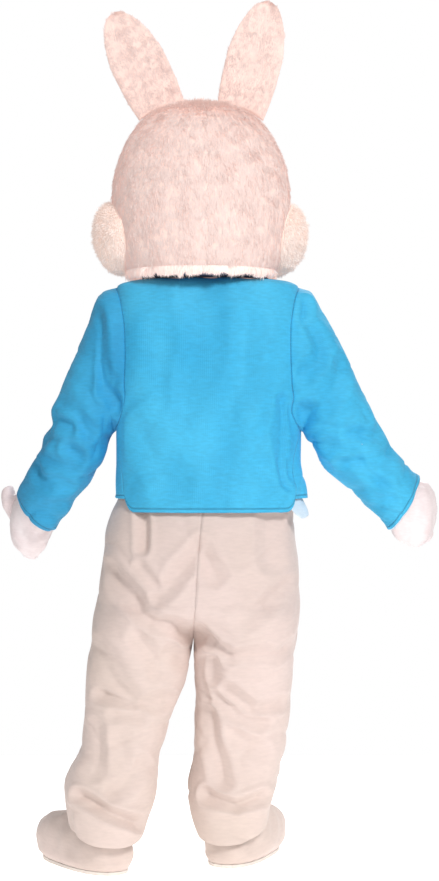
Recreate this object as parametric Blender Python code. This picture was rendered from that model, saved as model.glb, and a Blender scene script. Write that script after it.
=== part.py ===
"""Rabbit mascot costume as worn: furry head and ears, blue jacket, plush jumpsuit, mittens, shoe covers.

Metres, Z up, the front faces -Y and the wearer's left is +X. The tables give heights above the floor, and every
piece is moved down by ORIGIN_HEIGHT, so the origin is the middle of the neck at shoulder height.
"""
import math

import bpy
import numpy as np

ORIGIN_HEIGHT = 1.36
SEAM_HALF_GAP = 0.00022
SLEEVE_GAP = 0.0005
JACKET_WALL = 0.003
SUIT_WALL = 0.003
MITT_WALL = 0.0025
SHOE_WALL = 0.004
HEAD_WALL = 0.012
HEAD_TURN_DEG = 5.0
CROTCH_HEIGHT = 0.512
SPLIT_HEIGHT = 0.63

# Body tube of the jacket: height, middle x, half width, back y, front y, squareness of the ring
JACKET = [
    (0.842, -0.021, 0.2290, 0.166, -0.170, 2.4),
    (0.888, -0.021, 0.2255, 0.161, -0.162, 2.4),
    (0.960, -0.019, 0.2150, 0.151, -0.151, 2.5),
    (1.030, -0.019, 0.2145, 0.147, -0.145, 2.8),
    (1.100, -0.018, 0.2160, 0.146, -0.143, 3.1),
    (1.200, -0.017, 0.2170, 0.146, -0.142, 3.4),
    (1.290, -0.016, 0.2165, 0.141, -0.138, 3.4),
    (1.340, -0.016, 0.2150, 0.130, -0.130, 3.1),
    (1.366, -0.016, 0.2120, 0.116, -0.120, 2.8),
    (1.376, -0.015, 0.1960, 0.104, -0.112, 2.5),
    (1.381, -0.014, 0.1700, 0.092, -0.100, 2.3),
]
# Rows of the jacket above the hem: height, angle from the back at which the back panel ends, and the front begins
JACKET_ROWS = [
    (0.842, 58.0, 58.0),
    (0.872, 60.0, 60.0),
    (0.905, 63.0, 63.0),
    (0.940, 68.0, 68.0),
    (0.975, 73.0, 73.0),
    (1.005, 79.0, 79.0),
    (1.030, 84.0, 84.0),
    (1.050, 70.0, 102.0),
    (1.090, 60.0, 118.0),
    (1.145, 55.0, 125.0),
    (1.205, 53.0, 127.0),
    (1.265, 54.0, 126.0),
    (1.315, 60.0, 120.0),
    (1.348, 71.0, 109.0),
    (1.366, 90.0, 90.0),
    (1.376, 90.0, 90.0),
    (1.381, 90.0, 90.0),
]
UNDERARM_ROW = 6
TIP_ROW = 14
BACK_CORNER_RISE = 0.030
# Where each front panel ends, as an angle from the back: height, left, right
JACKET_FRONT_EDGE = [
    (0.842, 152.0, 148.0),
    (0.960, 160.0, 158.0),
    (1.200, 167.0, 166.0),
    (1.381, 164.0, 164.0),
]
# Sleeves, one row a ring from the armhole to the cuff: outer x, outer height, inner x, inner height, middle y,
# half depth, how much lower the back edge hangs
LEFT_SLEEVE = [
    (0.1960, 1.3660, 0.1955, 1.0300, 0.000, 0.100, 0.000),
    (0.2300, 1.3560, 0.2005, 1.0265, 0.001, 0.104, 0.000),
    (0.2550, 1.3110, 0.2040, 1.0225, 0.002, 0.103, 0.000),
    (0.2720, 1.2640, 0.2070, 1.0180, 0.003, 0.100, 0.000),
    (0.2910, 1.2170, 0.2095, 1.0130, 0.004, 0.095, 0.000),
    (0.3100, 1.1700, 0.2120, 1.0080, 0.005, 0.090, 0.002),
    (0.3300, 1.1230, 0.2145, 1.0020, 0.005, 0.086, 0.004),
    (0.3490, 1.0790, 0.2175, 0.9930, 0.004, 0.083, 0.007),
    (0.3520, 1.0450, 0.2200, 0.9790, 0.000, 0.080, 0.012),
    (0.3710, 1.0060, 0.2400, 0.9430, -0.012, 0.077, 0.018),
    (0.3950, 0.9580, 0.2690, 0.9050, -0.035, 0.074, 0.025),
    (0.4260, 0.9120, 0.3080, 0.8520, -0.062, 0.071, 0.031),
    (0.4410, 0.8830, 0.3450, 0.8030, -0.085, 0.069, 0.036),
]
RIGHT_SLEEVE = [
    (-0.2280, 1.3660, -0.2335, 1.0300, 0.000, 0.100, 0.000),
    (-0.2560, 1.3580, -0.2385, 1.0275, 0.001, 0.104, 0.000),
    (-0.2840, 1.3110, -0.2420, 1.0240, 0.002, 0.103, 0.000),
    (-0.3120, 1.2640, -0.2450, 1.0200, 0.003, 0.100, 0.000),
    (-0.3360, 1.2170, -0.2480, 1.0150, 0.004, 0.095, 0.000),
    (-0.3570, 1.1700, -0.2510, 1.0100, 0.005, 0.090, 0.002),
    (-0.3770, 1.1230, -0.2545, 1.0040, 0.005, 0.087, 0.004),
    (-0.4040, 1.0760, -0.2600, 0.9950, 0.004, 0.084, 0.006),
    (-0.4280, 1.0290, -0.2790, 0.9590, -0.004, 0.081, 0.010),
    (-0.4580, 0.9820, -0.3270, 0.9120, -0.018, 0.078, 0.014),
    (-0.4880, 0.9450, -0.3740, 0.8700, -0.032, 0.075, 0.017),
    (-0.5080, 0.9260, -0.4120, 0.8320, -0.043, 0.073, 0.019),
    (-0.5190, 0.9180, -0.4420, 0.7990, -0.050, 0.072, 0.020),
]
ARMHOLE_FADE_TOP = 4.0
ARMHOLE_FADE_UNDER = 1.5
# Halves of the jumpsuit: height, outer x, inner x, back y, front y. Above the crotch the inner x is the centre seam
LEFT_SUIT = [
    (0.100, 0.3120, 0.1260, 0.116, -0.096),
    (0.150, 0.3200, 0.1130, 0.120, -0.100),
    (0.183, 0.3215, 0.1060, 0.117, -0.101),
    (0.207, 0.3196, 0.1034, 0.112, -0.101),
    (0.240, 0.3080, 0.0995, 0.105, -0.100),
    (0.277, 0.2850, 0.0950, 0.101, -0.100),
    (0.301, 0.2775, 0.0870, 0.100, -0.100),
    (0.348, 0.2750, 0.0729, 0.101, -0.102),
    (0.395, 0.2726, 0.0540, 0.104, -0.105),
    (0.442, 0.2700, 0.0376, 0.110, -0.110),
    (0.489, 0.2656, 0.0205, 0.120, -0.120),
    (0.512, 0.2632, 0.0195, 0.128, -0.126),
    (0.583, 0.2538, 0.0150, 0.152, -0.146),
    (0.630, 0.2430, 0.0120, 0.162, -0.156),
    (0.724, 0.2327, 0.0060, 0.166, -0.162),
    (0.790, 0.2240, 0.0010, 0.161, -0.160),
    (0.835, 0.2110, -0.0040, 0.153, -0.156),
    (0.880, 0.1900, -0.0100, 0.147, -0.149),
    (0.960, 0.1800, -0.0150, 0.138, -0.139),
    (1.030, 0.1790, -0.0180, 0.134, -0.133),
    (1.200, 0.1830, -0.0170, 0.133, -0.131),
    (1.290, 0.1840, -0.0160, 0.128, -0.126),
    (1.335, 0.1790, -0.0160, 0.115, -0.115),
    (1.361, 0.1760, -0.0155, 0.1089, -0.109),
    (1.374, 0.1500, -0.0150, 0.088, -0.094),
]
RIGHT_SUIT = [
    (0.086, -0.1600, 0.0120, 0.030, -0.170),
    (0.137, -0.1700, 0.0280, 0.036, -0.174),
    (0.170, -0.1780, 0.0330, 0.036, -0.174),
    (0.195, -0.1840, 0.0310, 0.035, -0.172),
    (0.242, -0.1910, 0.0212, 0.036, -0.166),
    (0.291, -0.2040, 0.0188, 0.042, -0.158),
    (0.341, -0.2065, 0.0165, 0.054, -0.150),
    (0.390, -0.2080, 0.0125, 0.068, -0.142),
    (0.440, -0.2155, 0.0140, 0.086, -0.136),
    (0.489, -0.2190, 0.0205, 0.112, -0.130),
    (0.512, -0.2209, 0.0195, 0.126, -0.128),
    (0.583, -0.2303, 0.0150, 0.152, -0.146),
    (0.630, -0.2327, 0.0120, 0.162, -0.156),
    (0.724, -0.2280, 0.0060, 0.166, -0.162),
    (0.790, -0.2190, 0.0010, 0.161, -0.160),
    (0.835, -0.2180, -0.0040, 0.153, -0.156),
    (0.880, -0.2220, -0.0100, 0.147, -0.149),
    (0.960, -0.2180, -0.0150, 0.138, -0.139),
    (1.030, -0.2170, -0.0180, 0.134, -0.133),
    (1.200, -0.2170, -0.0170, 0.133, -0.131),
    (1.290, -0.2160, -0.0160, 0.128, -0.126),
    (1.335, -0.2110, -0.0160, 0.115, -0.115),
    (1.361, -0.2070, -0.0155, 0.1089, -0.109),
    (1.374, -0.1800, -0.0150, 0.088, -0.094),
]
SUIT_ROWS = [
    0.100, 0.122, 0.150, 0.180, 0.210, 0.240, 0.272, 0.306, 0.345, 0.385, 0.425, 0.460, 0.489, 0.512, 0.540, 0.575,
    0.612, 0.655, 0.700, 0.745, 0.790, 0.835, 0.880, 0.960, 1.035, 1.085, 1.150, 1.215, 1.275, 1.325, 1.361, 1.374,
]
# Armhole of the jumpsuit: height, angle at which the back panel ends, and the front begins
SUIT_ARMHOLE = [
    (1.035, 90.0, 90.0),
    (1.085, 62.0, 118.0),
    (1.150, 54.0, 126.0),
    (1.215, 52.0, 128.0),
    (1.275, 55.0, 125.0),
    (1.325, 65.0, 115.0),
    (1.361, 90.0, 90.0),
    (1.374, 90.0, 90.0),
]
# Leg hems: mean height, how much the back hangs lower, how much the outer side is raised, where the hem ends
LEFT_HEM = (0.1225, 0.050, 0.014, 0.235)
RIGHT_HEM = (0.1040, 0.044, 0.012, 0.225)
# Soft folds as creases in the back or front view: x, height, x, height, half width, depth
JACKET_BACK_FOLDS = [
    (-0.005, 1.356, 0.007, 1.260, 0.026, 0.007),
    (0.007, 1.260, 0.056, 1.081, 0.030, 0.008),
    (-0.113, 1.276, -0.056, 1.074, 0.030, 0.007),
    (-0.190, 1.086, -0.195, 0.884, 0.018, 0.007),
    (-0.127, 0.928, -0.167, 0.884, 0.022, 0.006),
    (0.120, 1.180, 0.150, 1.060, 0.028, 0.005),
]
JACKET_FRONT_FOLDS = [
    (0.060, 1.250, 0.120, 1.060, 0.030, 0.007),
    (-0.090, 1.250, -0.150, 1.060, 0.030, 0.007),
]
SLEEVE_BACK_FOLDS = [
    (0.247, 1.293, 0.238, 1.170, 0.022, 0.008),
    (0.238, 1.170, 0.195, 1.093, 0.022, 0.009),
    (0.338, 1.055, 0.259, 1.027, 0.018, 0.012),
    (0.348, 0.964, 0.310, 0.947, 0.015, 0.009),
    (0.343, 0.926, 0.327, 0.898, 0.015, 0.007),
    (-0.266, 1.302, -0.280, 1.246, 0.022, 0.008),
    (-0.280, 1.246, -0.237, 1.196, 0.022, 0.007),
    (-0.308, 1.149, -0.280, 1.093, 0.020, 0.009),
    (-0.425, 1.027, -0.362, 1.010, 0.018, 0.011),
    (-0.322, 0.947, -0.376, 0.947, 0.014, 0.010),
]
SUIT_BACK_FOLDS = [
    (0.002, 0.836, 0.009, 0.761, 0.020, 0.008),
    (0.016, 0.750, 0.082, 0.667, 0.022, 0.010),
    (0.016, 0.750, -0.031, 0.686, 0.022, 0.009),
    (0.183, 0.733, 0.146, 0.620, 0.022, 0.009),
    (0.146, 0.620, 0.052, 0.564, 0.024, 0.011),
    (0.052, 0.564, 0.016, 0.547, 0.024, 0.010),
    (-0.002, 0.594, -0.075, 0.505, 0.026, 0.012),
    (-0.075, 0.505, -0.188, 0.515, 0.020, 0.008),
    (-0.186, 0.667, -0.148, 0.616, 0.022, 0.008),
    (-0.148, 0.616, -0.075, 0.602, 0.024, 0.010),
    (0.214, 0.395, 0.162, 0.345, 0.022, 0.012),
    (0.162, 0.369, 0.089, 0.399, 0.020, 0.009),
    (0.263, 0.322, 0.263, 0.212, 0.020, 0.007),
    (0.195, 0.183, 0.129, 0.230, 0.020, 0.009),
    (0.282, 0.176, 0.139, 0.101, 0.018, 0.012),
    (-0.026, 0.404, -0.082, 0.345, 0.022, 0.010),
    (-0.082, 0.345, -0.141, 0.317, 0.022, 0.010),
    (-0.021, 0.345, -0.054, 0.183, 0.022, 0.008),
    (-0.035, 0.153, -0.110, 0.127, 0.016, 0.010),
]
SUIT_FRONT_FOLDS = [
    (0.002, 0.720, 0.090, 0.600, 0.026, 0.010),
    (-0.002, 0.720, -0.080, 0.600, 0.026, 0.010),
    (0.220, 0.400, 0.120, 0.350, 0.024, 0.012),
    (-0.180, 0.400, -0.060, 0.350, 0.024, 0.012),
    (0.290, 0.270, 0.150, 0.220, 0.022, 0.010),
    (-0.170, 0.250, -0.020, 0.205, 0.022, 0.010),
]
# Head: height, half width, half depth. The last row is the crown, where both halves meet on the centre seam
HEAD = [
    (1.396, 0.178, 0.176),
    (1.412, 0.188, 0.185),
    (1.438, 0.196, 0.193),
    (1.470, 0.203, 0.200),
    (1.510, 0.210, 0.207),
    (1.555, 0.2150, 0.212),
    (1.600, 0.2140, 0.212),
    (1.645, 0.2060, 0.206),
    (1.690, 0.1890, 0.191),
    (1.730, 0.1670, 0.170),
    (1.765, 0.1330, 0.138),
    (1.787, 0.0900, 0.095),
    (1.799, 0.0420, 0.045),
    (1.802, 0.0000, 0.028),
]
# Ears: base x, base height, tip x, tip height, then the share of the length and the width there
LEFT_EAR = (0.087, 1.770, 0.205, 2.008)
RIGHT_EAR = (-0.0917, 1.770, -0.160, 2.035)
EAR_WIDTHS = [(0.0, 0.112), (0.25, 0.127), (0.5, 0.130), (0.72, 0.112), (0.88, 0.078), (0.97, 0.040), (1.0, 0.012)]
EAR_BACK_BULGE = 0.022
EAR_EDGE = 0.004
EAR_CUP = 0.014
EAR_CLEARANCE = 0.0004
# Pads on the head: middle angle from the back, middle height, half angle, half height, bulge, squareness, clearance
CHEEK = (103.0, 1.482, 37.0, 0.082, 0.048, 2.2, 0.0021)
MUZZLE = (180.0, 1.510, 24.0, 0.056, 0.046, 2.2, 0.0013)
EYE = (28.0, 1.618, 8.5, 0.040, 0.012, 2.0, 0.0006)
PAD_LOWEST = 1.3965
CROWN_SLIT = 0.0008
NOSE = (0.023, 0.0135, 0.010)
NOSE_SEAT = 0.0024
# Mitten rings in the back view: outer x, outer height, inner x, inner height, middle y, half depth
LEFT_MITT = [
    (0.4180, 0.9050, 0.3290, 0.8420, -0.070, 0.050),
    (0.4320, 0.8779, 0.3528, 0.8109, -0.088, 0.0550),
    (0.4580, 0.8460, 0.3570, 0.7950, -0.108, 0.053),
    (0.4640, 0.7980, 0.3660, 0.7710, -0.128, 0.049),
    (0.4580, 0.7610, 0.3780, 0.7480, -0.143, 0.040),
    (0.4380, 0.7350, 0.3940, 0.7290, -0.152, 0.024),
]
LEFT_MITT_TIP = (0.4130, -0.156, 0.7180)
RIGHT_MITT = [
    (-0.4960, 0.9230, -0.4200, 0.8440, -0.044, 0.048),
    (-0.5118, 0.9104, -0.4452, 0.8112, -0.051, 0.0526),
    (-0.5420, 0.9020, -0.4560, 0.7850, -0.064, 0.053),
    (-0.5620, 0.8610, -0.4880, 0.7610, -0.080, 0.050),
    (-0.5620, 0.8240, -0.5130, 0.7530, -0.090, 0.040),
    (-0.5550, 0.7940, -0.5350, 0.7640, -0.096, 0.022),
]
RIGHT_MITT_TIP = (-0.5520, -0.099, 0.7720)
# Thumbs, from the hole in the mitten to the tip: middle x, y, height, radius, and the hole's first column and row
LEFT_THUMB = [(0.4650, -0.152, 0.8560, 0.022), (0.4710, -0.158, 0.8760, 0.018)]
LEFT_THUMB_TIP = (0.4740, -0.162, 0.9000)
LEFT_THUMB_COLUMN = 1
LEFT_THUMB_ROW = 1
RIGHT_THUMB = [(-0.5120, -0.142, 0.8080, 0.022), (-0.5060, -0.160, 0.8160, 0.018)]
RIGHT_THUMB_TIP = (-0.5010, -0.180, 0.8280)
RIGHT_THUMB_COLUMN = 3
RIGHT_THUMB_ROW = 2
# Shoe covers: height, heel y, toe y, half width, all from the ankle
SHOE = [
    (0.0080, 0.070, -0.232, 0.068),
    (0.0250, 0.078, -0.248, 0.077),
    (0.0550, 0.079, -0.252, 0.079),
    (0.0850, 0.076, -0.238, 0.075),
    (0.1080, 0.071, -0.200, 0.063),
    (0.1200, 0.067, -0.140, 0.058),
    (0.1300, 0.064, -0.100, 0.0585),
    (0.1600, 0.061, -0.072, 0.0575),
    (0.2000, 0.058, -0.060, 0.052),
]
SHOE_TOE_FLARE = 0.14
SOLE_TOP = 0.0076
# Ankles: x, y, and how far the toes turn out in degrees
LEFT_ANKLE = (0.229, 0.012, 34.0)
RIGHT_ANKLE = (-0.074, -0.070, -20.0)
# Linings: how far the band reaches into a cuff in sleeve rings, its wall, and the right front's facing
CUFF_BAND_RINGS = 1
LINING_WALL = 0.0012
LINING_CLEARANCE = 0.0006
# Collar: how far out its upper edge lies on the head's lower edge, its wall, and its gap to both
COLLAR_REACH = 1.0
COLLAR_WALL = 0.0025
COLLAR_GAP = 0.0004
# Facing that shows below the right front, in angles from the back, with its top and how far it hangs out
FACING_ANGLES = (-61.0, -118.0)
FACING_INSET = 0.0058
FACING_TOP = 0.925
FACING_DROP = 0.034
# Colours with their roughness
COLOURS = {
    "fur": ((0.930, 0.700, 0.610), 0.95),
    "cream_fur": ((0.960, 0.830, 0.740), 0.95),
    "inner_ear": ((0.900, 0.560, 0.560), 0.95),
    "jacket_blue": ((0.072, 0.420, 0.780), 0.80),
    "collar_navy": ((0.015, 0.060, 0.190), 0.80),
    "lining_white": ((0.850, 0.900, 0.960), 0.60),
    "plush": ((0.880, 0.690, 0.620), 0.95),
    "satin": ((0.960, 0.830, 0.820), 0.35),
    "sole_grey": ((0.700, 0.640, 0.600), 0.80),
    "black_gloss": ((0.010, 0.008, 0.008), 0.15),
    "nose_pink": ((0.700, 0.230, 0.260), 0.40),
}


def smooth_table(rows):
    """Turn rows sorted by their first column into a function of it that has no overshoot between rows."""
    table = np.array(rows, float)
    x, y = table[:, 0], table[:, 1:]
    step = np.diff(x)[:, None]
    slope = np.diff(y, axis=0) / step
    tangent = np.zeros_like(y)
    tangent[0], tangent[-1] = slope[0], slope[-1]
    before, after = slope[:-1], slope[1:]
    same_way = before * after > 0
    safe_before = np.where(same_way, before, 1.0)
    safe_after = np.where(same_way, after, 1.0)
    weight_before = 2 * step[1:] + step[:-1]
    weight_after = step[1:] + 2 * step[:-1]
    mean = (weight_before + weight_after) / (weight_before / safe_before + weight_after / safe_after)
    tangent[1:-1] = np.where(same_way, mean, 0.0)

    def at(value):
        value = np.clip(np.asarray(value, float), x[0], x[-1])
        k = np.clip(np.searchsorted(x, value, side="right") - 1, 0, len(x) - 2)
        width = x[k + 1] - x[k]
        t = ((value - x[k]) / width)[..., None]
        width = width[..., None]
        return (
            y[k] * (1 + 2 * t) * (1 - t) ** 2
            + tangent[k] * width * t * (1 - t) ** 2
            + y[k + 1] * t * t * (3 - 2 * t)
            + tangent[k + 1] * width * t * t * (t - 1)
        )

    return at


def smoothstep(value):
    t = np.clip(value, 0.0, 1.0)
    return t * t * (3 - 2 * t)


def ring_point(middle, half_width, back, front, square, angle):
    """Point on a rounded ring. The angle is zero at the back, and a quarter turn is at +X."""
    s, c = np.sin(angle), np.cos(angle)
    x = middle + half_width * np.sign(s) * np.abs(s) ** (2 / square)
    y = (back + front) / 2 + (back - front) / 2 * np.sign(c) * np.abs(c) ** (2 / square)
    return x, y


def crease_depth(points, folds):
    """Depth of the listed folds at each point, by its distance from the crease in the back view."""
    depth = np.zeros(points.shape[:-1])
    for x0, z0, x1, z1, half_width, deep in folds:
        start, run = np.array((x0, z0)), np.array((x1 - x0, z1 - z0))
        away = points[..., (0, 2)] - start
        t = np.clip((away @ run) / (run @ run), 0.0, 1.0)
        gap = np.linalg.norm(away - t[..., None] * run, axis=-1)
        depth = np.maximum(depth, deep * np.exp(-((gap / half_width) ** 2)))
    return depth


def normals(points, closed):
    """Outward normals of a grid of points. Columns run round from the back by way of +X, rows run up."""
    if closed:
        across = np.roll(points, -1, axis=1) - np.roll(points, 1, axis=1)
    else:
        across = np.gradient(points, axis=1)
    along = np.gradient(points, axis=0)
    out = np.cross(along, across)
    return out / np.maximum(np.linalg.norm(out, axis=-1, keepdims=True), 1e-12)


def pushed_in(points, out, back_folds, front_folds):
    """Push the creases into the cloth, where it faces the view that they were drawn in."""
    facing = out[..., 1]
    depth = crease_depth(points, back_folds) * smoothstep(facing * 1.6)
    depth = depth + crease_depth(points, front_folds) * smoothstep(-facing * 1.6)
    return points - out * depth[..., None]


def joined_normals(grids, seams, signs):
    """Outward normals of several panels, made equal where their seam columns meet."""
    outs = [normals(grid, False) * sign for grid, sign in zip(grids, signs)]
    for a, column_a, b, column_b in seams:
        meet = np.linalg.norm(grids[a][:, column_a] - grids[b][:, column_b], axis=-1) < 1e-5
        both = outs[a][:, column_a] + outs[b][:, column_b]
        both /= np.maximum(np.linalg.norm(both, axis=-1, keepdims=True), 1e-9)
        outs[a][:, column_a] = np.where(meet[:, None], both, outs[a][:, column_a])
        outs[b][:, column_b] = np.where(meet[:, None], both, outs[b][:, column_b])
    return outs


def folded_panels(grids, seams, signs, back_folds, front_folds, wall):
    """Outer and inner points of neighbouring panels, with the folds pushed in."""
    outs = joined_normals(grids, seams, signs)
    outer = [pushed_in(grid, out, back_folds, front_folds) for grid, out in zip(grids, outs)]
    outs = joined_normals(outer, seams, signs)
    inner = [grid - wall * out for grid, out in zip(outer, outs)]
    return outer, inner


def pulled(outer, inner, columns):
    """Pull the seam edges of a patch towards its own middle, so that it stays clear of its neighbour."""
    for grid in (outer, inner):
        for column in columns:
            move = grid[:, 1 if column == 0 else -2] - grid[:, column]
            grid[:, column] += SEAM_HALF_GAP * move / np.linalg.norm(move, axis=-1, keepdims=True)
    return outer, inner


def add_mesh(name, points, faces, colour):
    """Make one named object of triangles, with its own plain material."""
    points = np.array(points, float) - (0.0, 0.0, ORIGIN_HEIGHT)
    a, b, c = (points[[f[k] for f in faces]] for k in range(3))
    if float((a * np.cross(b, c)).sum()) < 0:
        faces = [(f[0], f[2], f[1]) for f in faces]
    mesh = bpy.data.meshes.new(name)
    mesh.from_pydata(points.tolist(), [], [tuple(map(int, f)) for f in faces])
    mesh.update()
    base, roughness = COLOURS[colour]
    material = bpy.data.materials.new(name)
    material.use_nodes = True
    shader = material.node_tree.nodes["Principled BSDF"]
    shader.inputs["Base Color"].default_value = (*base, 1.0)
    shader.inputs["Roughness"].default_value = roughness
    mesh.materials.append(material)
    piece = bpy.data.objects.new(name, mesh)
    bpy.context.collection.objects.link(piece)
    return piece


def add_cloth(name, colour, outer, inner, closed=False, tip=None, skipped=()):
    """Solid cloth between two grids of points. A tip, outer and inner, closes the last row of a tube."""
    rows, columns = outer.shape[:2]
    count = rows * columns
    points = np.concatenate([outer.reshape(-1, 3), inner.reshape(-1, 3)])
    faces = []
    edges = {}

    def both(a, b, c):
        faces.append((a, b, c))
        faces.append((a + count, c + count, b + count))
        for start, end in ((a, b), (b, c), (c, a)):
            if (end, start) in edges:
                del edges[(end, start)]
            else:
                edges[(start, end)] = True

    wide = columns if closed else columns - 1
    for j in range(rows - 1):
        for i in range(wide):
            if (j, i) in skipped:
                continue
            a, b = j * columns + i, j * columns + (i + 1) % columns
            c, d = b + columns, a + columns
            both(a, b, c)
            both(a, c, d)
    if tip is not None:
        outer_tip, inner_tip = len(points), len(points) + 1
        points = np.concatenate([points, np.array(tip, float)])
        last = (rows - 1) * columns
        for i in range(columns):
            a, b = last + i, last + (i + 1) % columns
            faces.append((a, b, outer_tip))
            faces.append((a + count, inner_tip, b + count))
            edges.pop((b, a), None)
    for start, end in edges:
        faces.append((start, start + count, end + count))
        faces.append((start, end + count, end))
    used = sorted({k for f in faces for k in f})
    place = {k: n for n, k in enumerate(used)}
    return add_mesh(name, points[used], [tuple(place[k] for k in f) for f in faces], colour)


def jacket_grid(start_deg, end_deg, columns):
    """Outer points of the jacket's body between two angles given for every row."""
    heights = np.array([row[0] for row in JACKET_ROWS])
    share = np.linspace(0.0, 1.0, columns)
    angle = np.radians(start_deg[:, None] * (1 - share) + end_deg[:, None] * share)
    height = np.repeat(heights[:, None], columns, axis=1)
    section = np.moveaxis(smooth_table(JACKET)(height), -1, 0)
    x, y = ring_point(*section, angle)
    return np.stack([x, y, height], axis=-1)


def build_jacket():
    rows = np.array(JACKET_ROWS)
    side_back, side_front = rows[:, 1], rows[:, 2]
    edge = smooth_table(JACKET_FRONT_EDGE)(rows[:, 0])
    back = jacket_grid(-side_back, side_back, 15)
    left = jacket_grid(side_front, edge[:, 0], 8)
    right = jacket_grid(-side_front, -edge[:, 1], 8)
    share = np.linspace(-1.0, 1.0, 15)
    corner = BACK_CORNER_RISE * np.clip((np.abs(share) - 0.80) / 0.20, 0.0, 1.0) ** 2
    for row, part in ((0, 1.0), (1, 0.35)):
        back[row, :, 2] += corner * part
        left[row, :, 2] += BACK_CORNER_RISE * part
        right[row, :, 2] += BACK_CORNER_RISE * part
    seams = ((0, -1, 1, 0), (0, 0, 2, 0))
    signs = (1, 1, -1)
    outer, inner = folded_panels((back, left, right), seams, signs,
                                 JACKET_BACK_FOLDS, JACKET_FRONT_FOLDS, JACKET_WALL)
    loops = {}
    for name, panel, column in (("left", 1, -1), ("right", 2, 0)):
        rear = outer[0][UNDERARM_ROW:TIP_ROW + 1, column]
        fore = outer[panel][UNDERARM_ROW:TIP_ROW + 1, 0][::-1]
        loops[name] = np.concatenate([fore[:-1], rear[:-1]])
    names = ("jacket_back", "jacket_front_left", "jacket_front_right")
    for k, columns in ((0, (0, -1)), (1, (0,)), (2, (0,))):
        add_cloth(names[k], "jacket_blue", *pulled(outer[k], inner[k], columns=columns))
    return loops


def sleeve_grid(table, loop):
    """Outer points of a sleeve. Its first ring is the armhole, and the next rings fade into round ones."""
    count = len(loop)
    turn = np.arange(count) * 2 * math.pi / count
    upper = (1 + np.cos(turn))[:, None] / 2
    fade_rings = ARMHOLE_FADE_UNDER + (ARMHOLE_FADE_TOP - ARMHOLE_FADE_UNDER) * upper
    rings = []
    first = None
    for k, (x0, z0, x1, z1, y, depth, hang) in enumerate(table):
        middle = np.array(((x0 + x1) / 2, y, (z0 + z1) / 2))
        reach = np.array(((x0 - x1) / 2, 0.0, (z0 - z1) / 2))
        back = np.array((0.0, depth, -hang))
        ring = middle + np.cos(turn)[:, None] * reach - np.sin(turn)[:, None] * back
        if first is None:
            first = loop - ring
        rings.append(ring + first * (1 - smoothstep(k / fade_rings)))
    return np.array(rings)


def build_sleeves(loops):
    cuffs = {}
    for name, table, sign in (("left", LEFT_SLEEVE, -1), ("right", RIGHT_SLEEVE, 1)):
        grid = sleeve_grid(table, loops[name])
        grid[1:] = pushed_in(grid, sign * normals(grid, True), SLEEVE_BACK_FOLDS, [])[1:]
        out = sign * normals(grid, True)
        cuffs[name] = (grid[-1 - CUFF_BAND_RINGS:].copy(), out[-1 - CUFF_BAND_RINGS:])
        inner = grid - JACKET_WALL * out
        for points in (grid, inner):
            points[0, :, 0] -= sign * SLEEVE_GAP
        add_cloth("sleeve_" + name, "jacket_blue", grid, inner, closed=True)
    return cuffs


def suit_half(table, sign, hem, start_deg, end_deg, columns, rows):
    """Outer points of a quarter of the jumpsuit, from the hem up. Angles are measured on the wearer's own side."""
    section = smooth_table(table)
    mean, drop, outer_rise, fade_end = hem
    lowest = rows[0]
    heights = np.repeat(np.array(rows)[:, None], columns, axis=1)
    split = np.sqrt(1 - (1 - smoothstep((SPLIT_HEIGHT - heights) / (SPLIT_HEIGHT - CROTCH_HEIGHT))) ** 2)
    share = np.linspace(0.0, 1.0, columns)
    start, end = np.array(start_deg)[:, None], np.array(end_deg)[:, None]
    seam = np.degrees(np.arcsin(split[:, :1]))
    start = np.where(start <= 0.0, -seam, start)
    end = np.where(end >= 180.0, 180.0 + seam, end)
    angle = np.radians(start * (1 - share) + end * share)
    outer_x, inner_x, back, front = np.moveaxis(section(heights), -1, 0)
    half = np.abs(outer_x - inner_x) / (1 + split)
    middle = inner_x + sign * split * half
    x, y = ring_point(middle, sign * half, back, front, 2.2, angle)
    edge = mean - drop * np.cos(angle) + outer_rise * np.sin(angle)
    lift = (edge - lowest) * (1 - smoothstep((heights - lowest) / (fade_end - lowest)))
    return np.stack([x, y, heights + lift], axis=-1)


def build_suit():
    armhole = smooth_table(SUIT_ARMHOLE)
    for name, table, sign, hem in (("left", LEFT_SUIT, 1, LEFT_HEM), ("right", RIGHT_SUIT, -1, RIGHT_HEM)):
        rows = [table[0][0]] + [h for h in SUIT_ROWS if h > table[0][0] + 0.01]
        ends = armhole(np.array(rows))
        centre = np.zeros(len(rows))
        back = suit_half(table, sign, hem, centre, ends[:, 0], 7, rows)
        front = suit_half(table, sign, hem, ends[:, 1], centre + 180.0, 7, rows)
        seams = ((0, -1, 1, 0), (0, 0, 1, -1))
        outer, inner = folded_panels((back, front), seams, (sign, sign),
                                     SUIT_BACK_FOLDS, SUIT_FRONT_FOLDS, SUIT_WALL)
        seam_x = smooth_table(table)
        for side, k in (("back", 0), ("front", 1)):
            for points in (outer[k], inner[k]):
                limit = seam_x(points[..., 2])[..., 1] + sign * SEAM_HALF_GAP
                beyond = (outer[k][..., 2] > CROTCH_HEIGHT - 0.03) & ((points[..., 0] - limit) * sign < 0)
                points[..., 0] = np.where(beyond, limit, points[..., 0])
            add_cloth("suit_" + side + "_" + name, "plush", *pulled(outer[k], inner[k], columns=(0, -1)))


def turned(points, degrees, x=0.0, y=0.0):
    """Turn points about an upright axis."""
    c, s = math.cos(math.radians(degrees)), math.sin(math.radians(degrees))
    points = np.array(points, float)
    dx, dy = points[..., 0].copy(), points[..., 1].copy()
    points[..., 0] = x + c * dx - s * dy
    points[..., 1] = y + s * dx + c * dy
    return points


def head_point(height, angle):
    half_width, half_depth = np.moveaxis(smooth_table(HEAD)(height), -1, 0)
    x, y = ring_point(0.0, half_width, half_depth, -half_depth, 2.1, angle)
    return np.stack([x, y, np.broadcast_to(height, x.shape)], axis=-1)


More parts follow.
